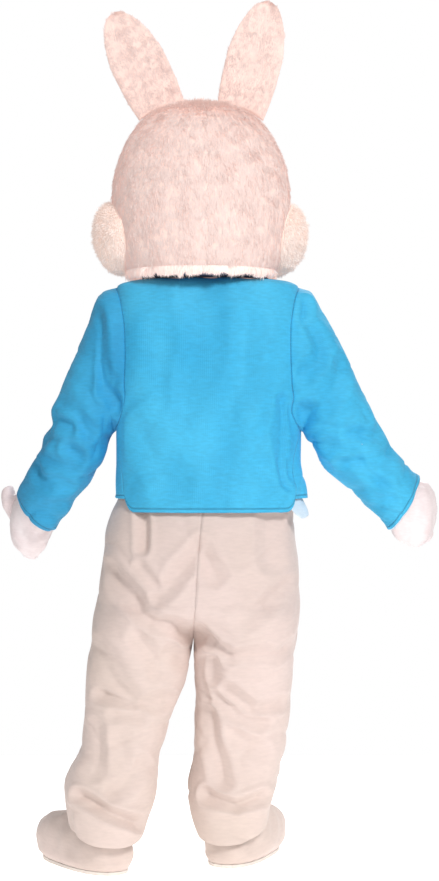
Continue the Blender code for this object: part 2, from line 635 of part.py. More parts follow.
def build_head():
    heights = np.array([row[0] for row in HEAD])[:, None]
    for side, sign in (("left", 1), ("right", -1)):
        grids = []
        for start in (0, 90):
            angle = np.radians(np.linspace(start, start + 90, 8))[None, :] * sign
            grids.append(head_point(heights, np.repeat(angle, len(heights), axis=0)))
        outs = joined_normals(grids, ((0, -1, 1, 0),), (sign, sign))
        for name, grid, out, seam in (("head_back_", grids[0], outs[0], 0), ("face_", grids[1], outs[1], -1)):
            out[:, seam, 0] = 0.0
            out[-1] = (0.0, 0.0, 1.0)
            out /= np.linalg.norm(out, axis=-1, keepdims=True)
            inner = grid - HEAD_WALL * out
            for points in (grid, inner):
                points[..., 0] = sign * np.maximum(sign * points[..., 0], SEAM_HALF_GAP)
                turns = np.linspace(0.0, math.pi / 2, 8) + (seam == -1) * math.pi / 2
                points[-1, :, 0] += sign * CROWN_SLIT * np.sin(turns)
            outer, inner = pulled(grid, inner, columns=(-1 if seam == 0 else 0,))
            add_cloth(name + side, "fur", turned(outer, HEAD_TURN_DEG), turned(inner, HEAD_TURN_DEG))


def inside_head(point):
    """Whether a point is in the head's outer surface, grown by a little."""
    x, y, z = turned(point, -HEAD_TURN_DEG)
    if z > HEAD[-1][0]:
        return False
    half_width, half_depth = smooth_table(HEAD)(z)
    return (x / (half_width + EAR_CLEARANCE)) ** 2 + (y / (half_depth + EAR_CLEARANCE)) ** 2 < 1


def build_ears():
    width_at = smooth_table(EAR_WIDTHS)
    across = np.linspace(-1.0, 1.0, 7)
    along = np.array((0.0, 0.16, 0.34, 0.52, 0.68, 0.82, 0.92, 0.985))
    for name, (x0, z0, x1, z1) in (("left", LEFT_EAR), ("right", RIGHT_EAR)):
        axis = np.array((x1 - x0, 0.0, z1 - z0))
        length = np.linalg.norm(axis)
        axis /= length
        side = np.array((axis[2], 0.0, -axis[0]))

        def point(u, share, depth):
            wide = float(width_at(share)[0]) / 2
            y = -EAR_CUP * (1 - u * u) + EAR_CUP * 0.5 + depth
            return np.array((x0, y, z0)) + axis * length * share + side * wide * u

        def surface(u, share, depth, bulge):
            full = max(0.0, 1 - u * u) ** 0.6 * min(1.0, 1.25 * (1 - share) ** 0.5)
            return point(u, share, depth + bulge * full)

        def grid(depth, bulge, starts):
            return np.array([[surface(u, s + (1 - s) * t, depth, bulge)
                              for u, s in zip(across, starts)] for t in along])

        starts = []
        for u in across:
            share = 0.0
            while any(inside_head(surface(u, share, d, b)) for d, b in
                      ((EAR_EDGE, EAR_BACK_BULGE), (0.0, 0.0), (-EAR_EDGE, -0.004))):
                share += 0.002
            starts.append(share)
        middle_back = grid(0.0004, 0.0, starts)
        middle_front = grid(-0.0004, 0.0, starts)
        back = grid(EAR_EDGE, EAR_BACK_BULGE, starts)
        front = grid(-EAR_EDGE, -0.004, starts)
        add_cloth("ear_" + name + "_back", "fur", back, middle_back)
        add_cloth("ear_" + name + "_front", "inner_ear", front, middle_front)


def build_pad(name, colour, middle_deg, height, half_deg, half_height, bulge, square, clearance, rings=4,
              count=16):
    """Stuffed pad that lies on the head: its back follows the head, and its face bulges."""
    turn = np.arange(count) * 2 * math.pi / count
    c, s = np.cos(turn), np.sin(turn)
    reach = 1 / (np.abs(c) ** square + np.abs(s) ** square) ** (1 / square)
    outer, inner = [], []
    for share in np.linspace(1.0, 0.12, rings):
        angle = np.radians(middle_deg + half_deg * share * reach * c)
        level = height + half_height * share * reach * s
        base = head_point(level, angle)
        nudge = head_point(level, angle + 0.01) - base, head_point(level + 0.002, angle) - base
        out = np.cross(nudge[1], nudge[0])
        out /= np.linalg.norm(out, axis=-1, keepdims=True)
        out *= np.sign((out[:, 0] * base[:, 0] + out[:, 1] * base[:, 1]))[:, None]
        rise = bulge * (1 - share ** 2) ** 0.62
        inner.append(base + out * clearance)
        outer.append(base + out * (clearance + 0.002 + rise))
    outer, inner = np.array(outer), np.array(inner)
    for points in (outer, inner):
        points[..., 2] = np.maximum(points[..., 2], PAD_LOWEST)
    outer[..., 2] = np.maximum(outer[..., 2], PAD_LOWEST + 0.0005)
    tip = (outer[-1].mean(axis=0), inner[-1].mean(axis=0))
    tip[0][:] += (outer[-1].mean(axis=0) - outer[-2].mean(axis=0)) * 0.35
    points = [turned(part, HEAD_TURN_DEG) for part in (outer, inner, tip)]
    add_cloth(name, colour, points[0], points[1], closed=True, tip=points[2])


def build_nose():
    level = MUZZLE[1] + 0.022
    centre = head_point(np.array(level), np.array(math.pi))
    y = float(centre[1]) - MUZZLE[4] + NOSE_SEAT - NOSE[2]
    outer = []
    for latitude in (-66, -40, -14, 14, 40, 66):
        t = math.radians(latitude)
        turn = np.arange(12) * math.pi / 6
        x, z = NOSE[0] * math.cos(t) * np.sin(turn), NOSE[1] * math.cos(t) * np.cos(turn)
        outer.append(np.stack([x, np.full(12, y + NOSE[2] * math.sin(t)), level + z], axis=-1))
    points = np.concatenate(outer + [[(0.0, y - NOSE[2], level)], [(0.0, y + NOSE[2], level)]])
    faces = []
    for j in range(5):
        for i in range(12):
            a, b = j * 12 + i, j * 12 + (i + 1) % 12
            faces += [(a, b, b + 12), (a, b + 12, a + 12)]
    for i in range(12):
        faces += [(72, (i + 1) % 12, i), (73, 60 + i, 60 + (i + 1) % 12)]
    add_mesh("nose", turned(points, HEAD_TURN_DEG), faces, "nose_pink")


def mitt_rings(table, count, shrink=0.0):
    turn = np.arange(count) * 2 * math.pi / count
    rings = []
    for x0, z0, x1, z1, y, depth in table:
        middle = np.array(((x0 + x1) / 2, y, (z0 + z1) / 2))
        reach = np.array(((x0 - x1) / 2, 0.0, (z0 - z1) / 2))
        reach *= 1 - shrink / np.linalg.norm(reach)
        back = np.array((0.0, depth - shrink, -0.35 * (depth - shrink)))
        c, s = np.cos(turn)[:, None], np.sin(turn)[:, None]
        rings.append(middle + np.sign(c) * np.abs(c) ** 0.9 * reach - np.sign(s) * np.abs(s) ** 0.9 * back)
    return np.array(rings)


def thumb_ring(middle, axis, spokes, radius):
    """Ring square to the thumb's axis, with its points in the directions of the hole's own points."""
    flat = spokes - (spokes @ axis)[:, None] * axis
    return middle + radius * flat / np.linalg.norm(flat, axis=1, keepdims=True)


def build_mitts():
    pairs = (("left", LEFT_MITT, LEFT_MITT_TIP, LEFT_THUMB, LEFT_THUMB_TIP, LEFT_THUMB_COLUMN, LEFT_THUMB_ROW),
             ("right", RIGHT_MITT, RIGHT_MITT_TIP, RIGHT_THUMB, RIGHT_THUMB_TIP, RIGHT_THUMB_COLUMN,
              RIGHT_THUMB_ROW))
    for name, table, tip, thumb, thumb_tip, c, r in pairs:
        outer = mitt_rings(table, 16)
        inner = mitt_rings(table, 16, MITT_WALL)
        tips = np.array([tip, tip])
        tips[1, 2] += 2 * MITT_WALL
        hole = {(r, c), (r, c + 1), (r + 1, c), (r + 1, c + 1)}
        add_cloth("mitt_" + name, "satin", outer, inner, closed=True, tip=tips, skipped=hole)
        around = [(r, c), (r, c + 1), (r, c + 2), (r + 1, c + 2)]
        around += [(r + 2, c + 2), (r + 2, c + 1), (r + 2, c), (r + 1, c)]
        base = np.array([outer[j, k] for j, k in around])
        centre = base.mean(axis=0)
        spokes = base - centre
        end = np.array(thumb_tip, float)
        away = np.cross(base[2] - base[6], base[4] - base[0])
        away *= np.sign(away @ (end - centre)) / np.linalg.norm(away)
        rings_outer = [base + away * 0.0008]
        rings_inner = [base + away * 0.0008 - spokes * 0.14]
        last = centre
        for x, y, z, radius in thumb:
            middle = np.array((x, y, z))
            axis = away + (end - last) / np.linalg.norm(end - last)
            axis /= np.linalg.norm(axis)
            rings_outer.append(thumb_ring(middle, axis, spokes, radius))
            rings_inner.append(thumb_ring(middle, axis, spokes, radius - MITT_WALL))
            last = middle
        back_off = (end - last) / np.linalg.norm(end - last) * MITT_WALL
        add_cloth("mitt_" + name + "_thumb", "satin", np.array(rings_outer), np.array(rings_inner), closed=True,
                  tip=(end, end - back_off))


def shoe_rings(count, shrink=0.0):
    turn = np.arange(count) * 2 * math.pi / count
    rings = []
    for height, heel, toe, half_width in SHOE:
        x, y = ring_point(0.0, half_width - shrink, heel - shrink, toe + shrink, 2.3, turn)
        x = x * (1 + SHOE_TOE_FLARE * np.clip(-np.cos(turn), 0.0, 1.0))
        rings.append(np.stack([x, y, np.full(count, height)], axis=-1))
    return np.array(rings)


def build_shoes():
    count = 20
    for name, (x, y, toe_out) in (("left", LEFT_ANKLE), ("right", RIGHT_ANKLE)):
        outer = shoe_rings(count)
        out = normals(outer, True)
        if float((out[2] * (outer[2] - outer[2].mean(axis=0))).sum()) < 0:
            out = -out
        inner = outer - SHOE_WALL * out
        inner[0] = shoe_rings(count, SHOE_WALL)[0]
        outer, inner = turned(outer, toe_out, x, y), turned(inner, toe_out, x, y)
        add_cloth("shoe_" + name + "_upper", "plush", outer, inner, closed=True)
        top = outer[0].copy()
        top[:, 2] = SOLE_TOP
        bottom = top.copy()
        bottom[:, 2] = 0.0
        middle = top.mean(axis=0)
        points = np.concatenate([top, bottom, [middle], [middle * (1, 1, 0)]])
        faces = []
        for i in range(count):
            k = (i + 1) % count
            faces += [(i, i + count, k + count), (i, k + count, k), (i, k, 2 * count)]
            faces.append((k + count, i + count, 2 * count + 1))
        add_mesh("shoe_" + name + "_sole", points, faces, "sole_grey")


def build_linings(cuffs):
    for name, (rings, out) in cuffs.items():
        inset = JACKET_WALL + LINING_CLEARANCE
        outer = rings - out * inset
        inner = rings - out * (inset + LINING_WALL)
        step = outer[-1] - outer[-2]
        step = step / np.linalg.norm(step, axis=-1, keepdims=True) * 0.003
        outer[-1] += step
        inner[-1] += step
        add_cloth("cuff_lining_" + name, "lining_white", outer, inner, closed=True)


def build_facing():
    """Turned-out facing of the right front: it hugs the panel and hangs below its hem in a crescent."""
    share = np.linspace(0.0, 1.0, 9)
    angle = np.radians(FACING_ANGLES[0] + (FACING_ANGLES[1] - FACING_ANGLES[0]) * share)
    drop = FACING_DROP * np.sin(math.pi * np.clip(share * 1.15, 0.0, 1.0)) ** 0.7
    hem = JACKET_ROWS[0][0] + BACK_CORNER_RISE - drop
    section = smooth_table(JACKET)
    rings = []
    for part in (1.0, 0.62, 0.3, 0.0):
        height = hem + (FACING_TOP - hem) * part
        middle, half, back, front, square = np.moveaxis(section(np.maximum(height, JACKET[0][0])), -1, 0)
        x, y = ring_point(middle, half - FACING_INSET, back - FACING_INSET, front + FACING_INSET, square, angle)
        rings.append(np.stack([x, y, height], axis=-1))
    outer = np.array(rings)[::-1]
    add_cloth("facing_front_right", "lining_white", outer, outer - LINING_WALL * normals(outer, False) * -1)


def build_collar():
    """Collar that flares from the neckline up to the lower edge of the head."""
    angle = np.radians(np.linspace(-158.0, 158.0, 25))
    base, rim = np.array(JACKET[-1]), HEAD[0]
    rings = []
    for share in (0.0, 0.5, 1.0):
        grow = COLLAR_REACH * rim[1]
        low = base[1:5] * (1 - share) + np.array((0.0, grow, grow, -grow)) * share
        x, y = ring_point(*low, base[5] * (1 - share) + 2.1 * share, angle)
        rise = (rim[0] - base[0] - 3 * COLLAR_GAP - COLLAR_WALL) * share ** 0.7
        rings.append(np.stack([x, y, np.full(len(angle), base[0] + 2 * COLLAR_GAP + rise)], axis=-1))
    outer = np.array(rings)
    add_cloth("collar", "collar_navy", outer, outer - COLLAR_WALL * normals(outer, False))


def main():
    for old in list(bpy.data.objects):
        bpy.data.objects.remove(old, do_unlink=True)
    armholes = build_jacket()
    cuffs = build_sleeves(armholes)
    build_linings(cuffs)
    build_facing()
    build_collar()
    build_suit()
    build_head()
    build_ears()
    for name, angle in (("left", CHEEK[0]), ("right", -CHEEK[0])):
        build_pad("cheek_" + name, "cream_fur", angle, *CHEEK[1:])
    build_pad("muzzle", "cream_fur", *MUZZLE)
    for name, angle in (("left", 180 - EYE[0]), ("right", 180 + EYE[0])):
        build_pad("eye_" + name, "black_gloss", angle, *EYE[1:], rings=4, count=12)
    build_nose()
    build_mitts()
    build_shoes()


main()
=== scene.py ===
"""Looks of the rabbit mascot costume: cloth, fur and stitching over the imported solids.

Metres, Z up, the front faces -Y and the wearer's left is +X. Heights are above the floor, and every piece is
moved down by ORIGIN_HEIGHT. A table passed to metres() is written in millimetres and degrees.
"""
import math

import bpy
import mathutils
import numpy as np
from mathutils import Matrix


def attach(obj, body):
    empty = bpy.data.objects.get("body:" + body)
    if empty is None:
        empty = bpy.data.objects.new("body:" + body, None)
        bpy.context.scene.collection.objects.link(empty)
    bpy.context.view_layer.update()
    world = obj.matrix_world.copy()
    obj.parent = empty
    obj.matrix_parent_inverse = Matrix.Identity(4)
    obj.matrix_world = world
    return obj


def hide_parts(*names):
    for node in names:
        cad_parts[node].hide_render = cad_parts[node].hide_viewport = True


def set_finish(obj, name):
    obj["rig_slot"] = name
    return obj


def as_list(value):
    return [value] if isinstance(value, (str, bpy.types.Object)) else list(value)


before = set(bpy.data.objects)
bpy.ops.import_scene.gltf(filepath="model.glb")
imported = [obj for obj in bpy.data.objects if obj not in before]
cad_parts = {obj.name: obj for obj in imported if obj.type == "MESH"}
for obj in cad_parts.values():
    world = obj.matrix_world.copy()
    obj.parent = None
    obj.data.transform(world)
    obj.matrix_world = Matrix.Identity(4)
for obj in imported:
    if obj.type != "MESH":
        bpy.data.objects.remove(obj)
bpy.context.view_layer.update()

ORIGIN_HEIGHT = 1.36
SEAM_HALF_GAP = 0.00002
SLEEVE_GAP = 0.0001
JACKET_WALL = 0.003
SUIT_WALL = 0.003
MITT_WALL = 0.0025
SHOE_WALL = 0.002
HEAD_WALL = 0.012
HEAD_TURN_DEG = 5.0
# The legs are apart below the crotch, and their rings open towards the body's ring from there to the split
CROTCH_HEIGHT = 0.512
SPLIT_HEIGHT = 0.63
# Squareness of the rings, where 2 is an ellipse
SUIT_SQUARE = 2.2
HEAD_SQUARE = 2.1
SHOE_SQUARE = 2.3


def metres(rows, plain=0):
    """Rows in metres from rows in millimetres. The last columns, as many as plain says, aren't lengths."""
    table = np.array(rows, float)
    table[:, :table.shape[1] - plain] /= 1000
    return table


# Body tube of the jacket: height, middle x, half width, back y, front y, squareness of the ring
JACKET = metres([
    (842, -21, 229, 166, -170, 2.4),
    (888, -21, 225.5, 161, -162, 2.4),
    (960, -19, 215, 151, -151, 2.5),
    (1030, -19, 214.5, 147, -145, 2.8),
    (1100, -18, 216, 146, -143, 3.1),
    (1200, -17, 217, 146, -142, 3.4),
    (1290, -16, 216.5, 141, -138, 3.4),
    (1340, -16, 215, 130, -130, 3.1),
    (1366, -16, 212, 116, -120, 2.8),
    (1376, -15, 196, 104, -112, 2.5),
    (1381, -14, 170, 92, -100, 2.3),
], 1)
# Rows of the jacket above the hem: height, angle from the back where the back panel ends and the front begins
JACKET_ROWS = metres([
    (842, 58, 58), (872, 60, 60), (905, 63, 63), (940, 68, 68), (975, 73, 73), (1005, 79, 79),
    (1030, 84, 84), (1050, 70, 102), (1090, 60, 118), (1145, 55, 125), (1205, 53, 127), (1265, 54, 126),
    (1315, 60, 120), (1348, 71, 109), (1366, 90, 90), (1376, 90, 90), (1381, 90, 90),
], 2)
JACKET_COLUMNS = (14, 7)
UNDERARM_ROW = 6
TIP_ROW = 14
BACK_CORNER_RISE = 0.030
# Where each front panel ends, as an angle from the back: height, left, right
JACKET_FRONT_EDGE = metres([
    (842, 152, 148), (960, 160, 158), (1200, 167, 166), (1381, 164, 164),
], 2)
# Sleeves, one row a ring from armhole to cuff: outer x and height, inner x and height, middle y, half depth,
# how much lower the back edge hangs
LEFT_SLEEVE = metres([
    (196, 1366, 195.5, 1030, 0, 100, 0),
    (230, 1356, 200.5, 1026.5, 1, 104, 0),
    (255, 1311, 204, 1022.5, 2, 103, 0),
    (272, 1264, 207, 1018, 3, 100, 0),
    (291, 1217, 209.5, 1013, 4, 95, 0),
    (310, 1170, 212, 1008, 5, 90, 2),
    (330, 1123, 214.5, 1002, 5, 86, 4),
    (349, 1079, 217.5, 993, 4, 83, 7),
    (352, 1045, 220, 979, 0, 80, 12),
    (371, 1006, 240, 943, -12, 77, 18),
    (395, 958, 269, 905, -35, 74, 25),
    (426, 912, 308, 852, -62, 71, 31),
    (441, 883, 345, 803, -85, 69, 36),
])
RIGHT_SLEEVE = metres([
    (-228, 1366, -233.5, 1030, 0, 100, 0),
    (-256, 1358, -238.5, 1027.5, 1, 104, 0),
    (-284, 1311, -242, 1024, 2, 103, 0),
    (-312, 1264, -245, 1020, 3, 100, 0),
    (-336, 1217, -248, 1015, 4, 95, 0),
    (-357, 1170, -251, 1010, 5, 90, 2),
    (-377, 1123, -254.5, 1004, 5, 87, 4),
    (-404, 1076, -260, 995, 4, 84, 6),
    (-428, 1029, -279, 959, -4, 81, 10),
    (-458, 982, -327, 912, -18, 78, 14),
    (-488, 945, -374, 870, -32, 75, 17),
    (-508, 926, -412, 832, -43, 73, 19),
    (-519, 918, -442, 799, -50, 72, 20),
])
# Sleeve rings over which the armhole's shape fades, at its top and under the arm
ARMHOLE_FADE_TOP = 4.0
ARMHOLE_FADE_UNDER = 1.5
# Legs of the jumpsuit: height, outer x, inner x, back y, front y
LEFT_LEG = metres([
    (100, 312, 126, 116, -96),
    (150, 320, 113, 120, -100),
    (183, 321.5, 106, 117, -101),
    (207, 319.6, 103.4, 112, -101),
    (240, 308, 99.5, 105, -100),
    (277, 285, 95, 101, -100),
    (301, 277.5, 87, 100, -100),
    (348, 275, 72.9, 101, -102),
    (395, 272.6, 54, 104, -105),
    (442, 270, 37.6, 110, -110),
    (489, 265.6, 28, 120, -120),
    (512, 263.2, 22.5, 128, -126),
    (548, 258.5, 17.2, 140, -136),
])
RIGHT_LEG = metres([
    (86, -160, 12, 30, -170),
    (137, -170, 28, 36, -174),
    (170, -178, 33, 36, -174),
    (195, -184, 31, 35, -172),
    (242, -191, 21.2, 36, -166),
    (291, -204, 18.8, 42, -158),
    (341, -206.5, 16.5, 54, -150),
    (390, -208, 12.5, 68, -142),
    (440, -215.5, 14, 86, -136),
    (489, -219, 16, 112, -130),
    (512, -220.9, 17.5, 126, -128),
    (548, -225.6, 17.2, 139, -137),
])
# Jumpsuit above the legs: height, left outer x, right outer x, x of the centre seam, back y, front y
SUIT_BODY = metres([
    (583, 253.8, -230.3, 15, 152, -146),
    (630, 243, -232.7, 12, 162, -156),
    (724, 232.7, -228, 6, 166, -162),
    (790, 224, -219, 1, 161, -160),
    (835, 211, -218, -4, 153, -156),
    (880, 190, -222, -10, 147, -149),
    (960, 180, -218, -15, 138, -139),
    (1030, 179, -217, -18, 134, -133),
    (1200, 183, -217, -17, 133, -131),
    (1290, 184, -216, -16, 128, -126),
    (1335, 179, -211, -16, 115, -115),
    (1361, 176, -207, -15.5, 108.9, -109),
    (1374, 150, -180, -15, 88, -94),
])
LEFT_SUIT = np.concatenate([LEFT_LEG, SUIT_BODY[:, (0, 1, 3, 4, 5)]])
RIGHT_SUIT = np.concatenate([RIGHT_LEG, SUIT_BODY[:, (0, 2, 3, 4, 5)]])
SUIT_ROWS = [height / 1000 for height in (
    100, 122, 150, 180, 210, 240, 272, 306, 345, 385, 425, 460, 489, 512, 540, 575, 612, 655, 700, 745, 790,
    835, 880, 960, 1035, 1085, 1150, 1215, 1275, 1325, 1361, 1374,
)]
# Armhole of the jumpsuit: height, angle at which the back panel ends, and the front begins
SUIT_ARMHOLE = metres([
    (1035, 90, 90), (1085, 62, 118), (1150, 54, 126), (1215, 52, 128), (1275, 55, 125), (1325, 65, 115),
    (1361, 90, 90), (1374, 90, 90),
], 2)
# Leg hems: mean height, how much the back hangs lower, how much the outer side is raised, where the hem ends
LEFT_HEM = (0.1225, 0.050, 0.014, 0.235)
RIGHT_HEM = (0.1040, 0.044, 0.012, 0.225)
# Folds as lines in the back or front view: x, height, x, height, half width, depth
JACKET_BACK_FOLDS = metres([
    (-6, 1345, 5, 1252, 28, 7), (-6, 1252, 42, 1086, 32, 8), (-33, 1300, -15, 1161, 26, 6),
    (-111, 1268, -81, 1113, 30, 7), (-81, 1113, -56, 1006, 30, 5), (-186, 1093, -194, 908, 12, 11),
    (-140, 950, -160, 915, 22, 6), (81, 1234, 92, 1097, 34, 5), (138, 1006, 69, 915, 30, 5),
    (165, 1097, 115, 1106, 18, 4), (-211, 1063, -220, 935, 20, 8),
])
JACKET_FRONT_FOLDS = metres([
    (60, 1250, 120, 1060, 30, 7), (-90, 1250, -150, 1060, 30, 7),
])
SLEEVE_BACK_FOLDS = metres([
    (240, 1283, 231, 1182, 16, 10), (231, 1182, 212, 1124, 16, 12), (212, 1124, 184, 1087, 14, 12),
    (219, 1186, 203, 1142, 12, 8), (203, 1142, 184, 1140, 12, 7), (251, 1260, 261, 1145, 22, 6),
    (337, 1055, 307, 1043, 14, 11), (311, 992, 284, 971, 14, 10), (279, 1057, 251, 1024, 14, 9),
    (344, 969, 305, 946, 13, 9), (339, 927, 318, 897, 12, 8), (381, 937, 348, 904, 14, 7),
    (325, 1098, 288, 1075, 16, 6), (-244, 1323, -230, 1281, 10, 11), (-248, 1265, -278, 1223, 14, 9),
    (-278, 1223, -274, 1182, 14, 10), (-274, 1182, -237, 1156, 14, 10), (-329, 1182, -292, 1092, 18, 9),
    (-292, 1092, -244, 1071, 16, 9), (-304, 1147, -276, 1092, 14, 5), (-424, 1027, -350, 1015, 14, 11),
    (-324, 951, -378, 951, 11, 11), (-410, 856, -442, 867, 12, 6), (-350, 988, -299, 997, 16, 6),
    (-387, 937, -424, 904, 14, 7), (-438, 971, -405, 955, 14, 6),
])
SUIT_BACK_FOLDS = metres([
    (207, 702, 154, 647, 18, 12), (154, 647, 99, 592, 16, 14), (99, 592, 10, 558, 16, 13),
    (143, 553, 99, 480, 20, 9), (99, 480, 45, 508, 18, 8), (232, 514, 200, 457, 24, 10),
    (200, 457, 161, 407, 22, 11), (221, 425, 154, 391, 14, 12), (154, 391, 88, 407, 14, 10),
    (193, 370, 138, 368, 14, 6), (248, 341, 248, 258, 18, 7), (184, 320, 166, 240, 20, 5),
    (278, 192, 209, 153, 14, 14), (209, 153, 138, 130, 14, 13), (189, 210, 125, 251, 18, 7),
    (138, 718, 99, 663, 12, 6), (10, 757, 51, 709, 14, 10), (51, 709, 99, 647, 14, 8),
    (-6, 748, -35, 702, 16, 9), (10, 574, -24, 546, 16, 14), (-24, 546, -68, 514, 16, 12),
    (-68, 514, -200, 524, 16, 9), (-141, 624, -102, 601, 16, 5), (-189, 677, -150, 626, 14, 7),
    (-24, 492, -35, 457, 16, 9), (-68, 425, -122, 386, 14, 11), (-122, 386, -180, 395, 14, 8),
    (-40, 414, -90, 368, 14, 10), (-90, 368, -145, 341, 14, 9), (-13, 368, -24, 302, 18, 9),
    (-24, 302, -56, 213, 16, 10), (-81, 320, -141, 274, 16, 6), (-24, 174, -79, 153, 12, 13),
    (-79, 153, -141, 169, 12, 11), (134, 841, 131, 766, 12, 10), (-154, 823, -159, 732, 18, 6),
    (1, 496, -15, 411, 14, 6),
])
SUIT_FRONT_FOLDS = metres([
    (2, 720, 90, 600, 26, 10), (-2, 720, -80, 600, 26, 10), (220, 400, 120, 350, 24, 12),
    (-180, 400, -60, 350, 24, 12), (290, 270, 150, 220, 22, 10), (-170, 250, -20, 205, 22, 10),
])
# Small folds: their least share, the height below which they deepen and the fade there, how the space is
# stretched, then the depth and size of the waves, the depth and size of the creases, and the seed
RUMPLES = {
    "jacket": (0.35, 1.20, 0.25, (1.0, 1.0, 0.55), 0.0016, 0.09, 0.0030, 0.16, 11),
    "sleeve": (0.45, 1.12, 0.08, (0.75, 1.0, 1.3), 0.0020, 0.07, 0.0042, 0.13, 21),
    "suit": (0.60, 0.35, 0.20, (0.7, 1.0, 1.2), 0.0020, 0.10, 0.0040, 0.20, 31),
    "mitt": (1.00, 1.00, 1.00, (1.0, 1.0, 1.0), 0.0011, 0.04, 0.0022, 0.085, 41),
}
CREASE_WIDTH = 0.30
# Head: height, half width, half depth. The last row is the crown, where both halves meet on the centre seam
HEAD = metres([
    (1396, 178, 176), (1412, 188, 185), (1438, 196, 193), (1470, 203, 200), (1510, 210, 207),
    (1555, 215, 212), (1600, 214, 212), (1645, 206, 206), (1690, 189, 191), (1730, 167, 170),
    (1765, 133, 138), (1787, 90, 95), (1799, 42, 45), (1802, 0, 28),
])
# Ears: base x, base height, tip x, tip height, then the share of the length and the width there
LEFT_EAR = (0.087, 1.770, 0.205, 2.008)
RIGHT_EAR = (-0.0917, 1.770, -0.160, 2.035)
EAR_WIDTHS = [
    (0.0, 0.112), (0.25, 0.127), (0.5, 0.130), (0.72, 0.112), (0.88, 0.078), (0.97, 0.040), (1.0, 0.012),
]
EAR_BACK_BULGE = 0.022
EAR_EDGE = 0.004
EAR_CUP = 0.014
EAR_CLEARANCE = 0.0004
EAR_COLUMNS = 29
EAR_ROWS = 40
# Pads on the head: angle from the back, height, half angle, half height, bulge, squareness, clearance. The
# angle of the eyes counts from the front
CHEEK = (103.0, 1.482, 37.0, 0.082, 0.048, 2.2, 0.0021)
MUZZLE = (180.0, 1.510, 24.0, 0.056, 0.046, 2.2, 0.0013)
EYE = (28.0, 1.618, 8.5, 0.040, 0.012, 2.0, 0.0006)
PAD_LOWEST = 1.3965
PAD_ROUND = 72
PAD_ROWS = 18
# Nose: half width, half height and half depth, how deep it sits, how high above the muzzle's middle
NOSE = (0.023, 0.0135, 0.010)
NOSE_SEAT = 0.0059
NOSE_ABOVE_MUZZLE = 0.022
NOSE_ROWS = 22
NOSE_ROUND = 48
# Mitten rings in the back view: outer x, outer height, inner x, inner height, middle y, half depth
LEFT_MITT = metres([
    (418, 905, 329, 842, -70, 50),
    (432, 877.9, 352.8, 810.9, -88, 55),
    (458, 846, 357, 795, -108, 53),
    (464, 798, 366, 771, -128, 49),
    (458, 761, 378, 748, -143, 40),
    (438, 735, 394, 729, -152, 24),
])
LEFT_MITT_TIP = (0.4130, -0.156, 0.7180)
RIGHT_MITT = metres([
    (-496, 923, -420, 844, -44, 48),
    (-511.8, 910.4, -445.2, 811.2, -51, 52.6),
    (-542, 902, -456, 785, -64, 53),
    (-562, 861, -488, 761, -80, 50),
    (-562, 824, -513, 753, -90, 40),
    (-555, 794, -535, 764, -96, 22),
])
RIGHT_MITT_TIP = (-0.5520, -0.099, 0.7720)
# Thumbs from the mitten's hole to the tip: middle x, y, height, radius. Then the hole's first column and row
LEFT_THUMB = metres([(465, -152, 856, 22), (471, -158, 876, 18)])
LEFT_THUMB_TIP = (0.4740, -0.162, 0.9000)
LEFT_THUMB_COLUMN = 1
LEFT_THUMB_ROW = 1
RIGHT_THUMB = metres([(-512, -142, 808, 22), (-506, -160, 816, 18)])
RIGHT_THUMB_TIP = (-0.5010, -0.180, 0.8280)
RIGHT_THUMB_COLUMN = 3
RIGHT_THUMB_ROW = 2
MITTENS = (
    ("left", LEFT_MITT, LEFT_MITT_TIP, LEFT_THUMB, LEFT_THUMB_TIP, LEFT_THUMB_COLUMN, LEFT_THUMB_ROW),
    ("right", RIGHT_MITT, RIGHT_MITT_TIP, RIGHT_THUMB, RIGHT_THUMB_TIP, RIGHT_THUMB_COLUMN, RIGHT_THUMB_ROW),
)
# Shoe covers: height, heel y, toe y, half width, all from the ankle
SHOE = metres([
    (8, 70, -232, 68),
    (25, 78, -248, 77),
    (55, 79, -252, 79),
    (85, 76, -238, 75),
    (108, 71, -200, 63),
    (120, 67, -140, 58),
    (130, 64, -100, 58.5),
    (160, 61, -72, 57.5),
    (200, 58, -60, 52),
])
SHOE_TOE_FLARE = 0.14
SHOE_FINE = 4
SHOE_ROUND = 80
# Ankles: x, y, and how far the toes turn out in degrees
LEFT_ANKLE = (0.229, 0.012, 34.0)
RIGHT_ANKLE = (-0.074, -0.070, -20.0)
# Linings: how many sleeve rings the band in a cuff reaches in, their wall, and the band's gap to the sleeve
CUFF_BAND_RINGS = 1
LINING_WALL = 0.0012
LINING_CLEARANCE = 0.0006
# Collar: shares of the head's and the jacket's edges that it follows, its wall, its gap to both, its ends
COLLAR_REACH = 0.80
COLLAR_BASE_REACH = 0.89
COLLAR_WALL = 0.0025
COLLAR_GAP = 0.0004
COLLAR_ENDS_DEG = 158.0
COLLAR_COLUMNS = 121
COLLAR_ROWS = 9
# Facing that shows below the right front, in angles from the back, with its top and how far it hangs out
FACING_ANGLES = (-50.0, -118.0)
FACING_INSET = 0.0110
FACING_TOPS = [(0.0, 0.876), (0.14, 0.880), (0.30, 0.888), (1.0, 0.888)]
FACING_FLARE = 0.018
FACING_COLUMNS = 49
FACING_ROWS = 21
FACING_LOBE = [
    (0.0, 0.014), (0.08, 0.036), (0.18, 0.046), (0.36, 0.040), (0.55, 0.020), (0.75, 0.004), (1.0, 0.0),
]
# How much finer the shown grids are than the tables' own rows
JACKET_FINE = 6
SUIT_FINE = 10
SUIT_HIDDEN_FINE = 3
SUIT_HIDDEN_FROM = 0.88
SUIT_BACK_COLUMNS = 73
SUIT_FRONT_COLUMNS = 37
HEAD_FINE = 4
HEAD_COLUMNS = 29
MITT_FINE = 4
MITT_COLUMNS = 16
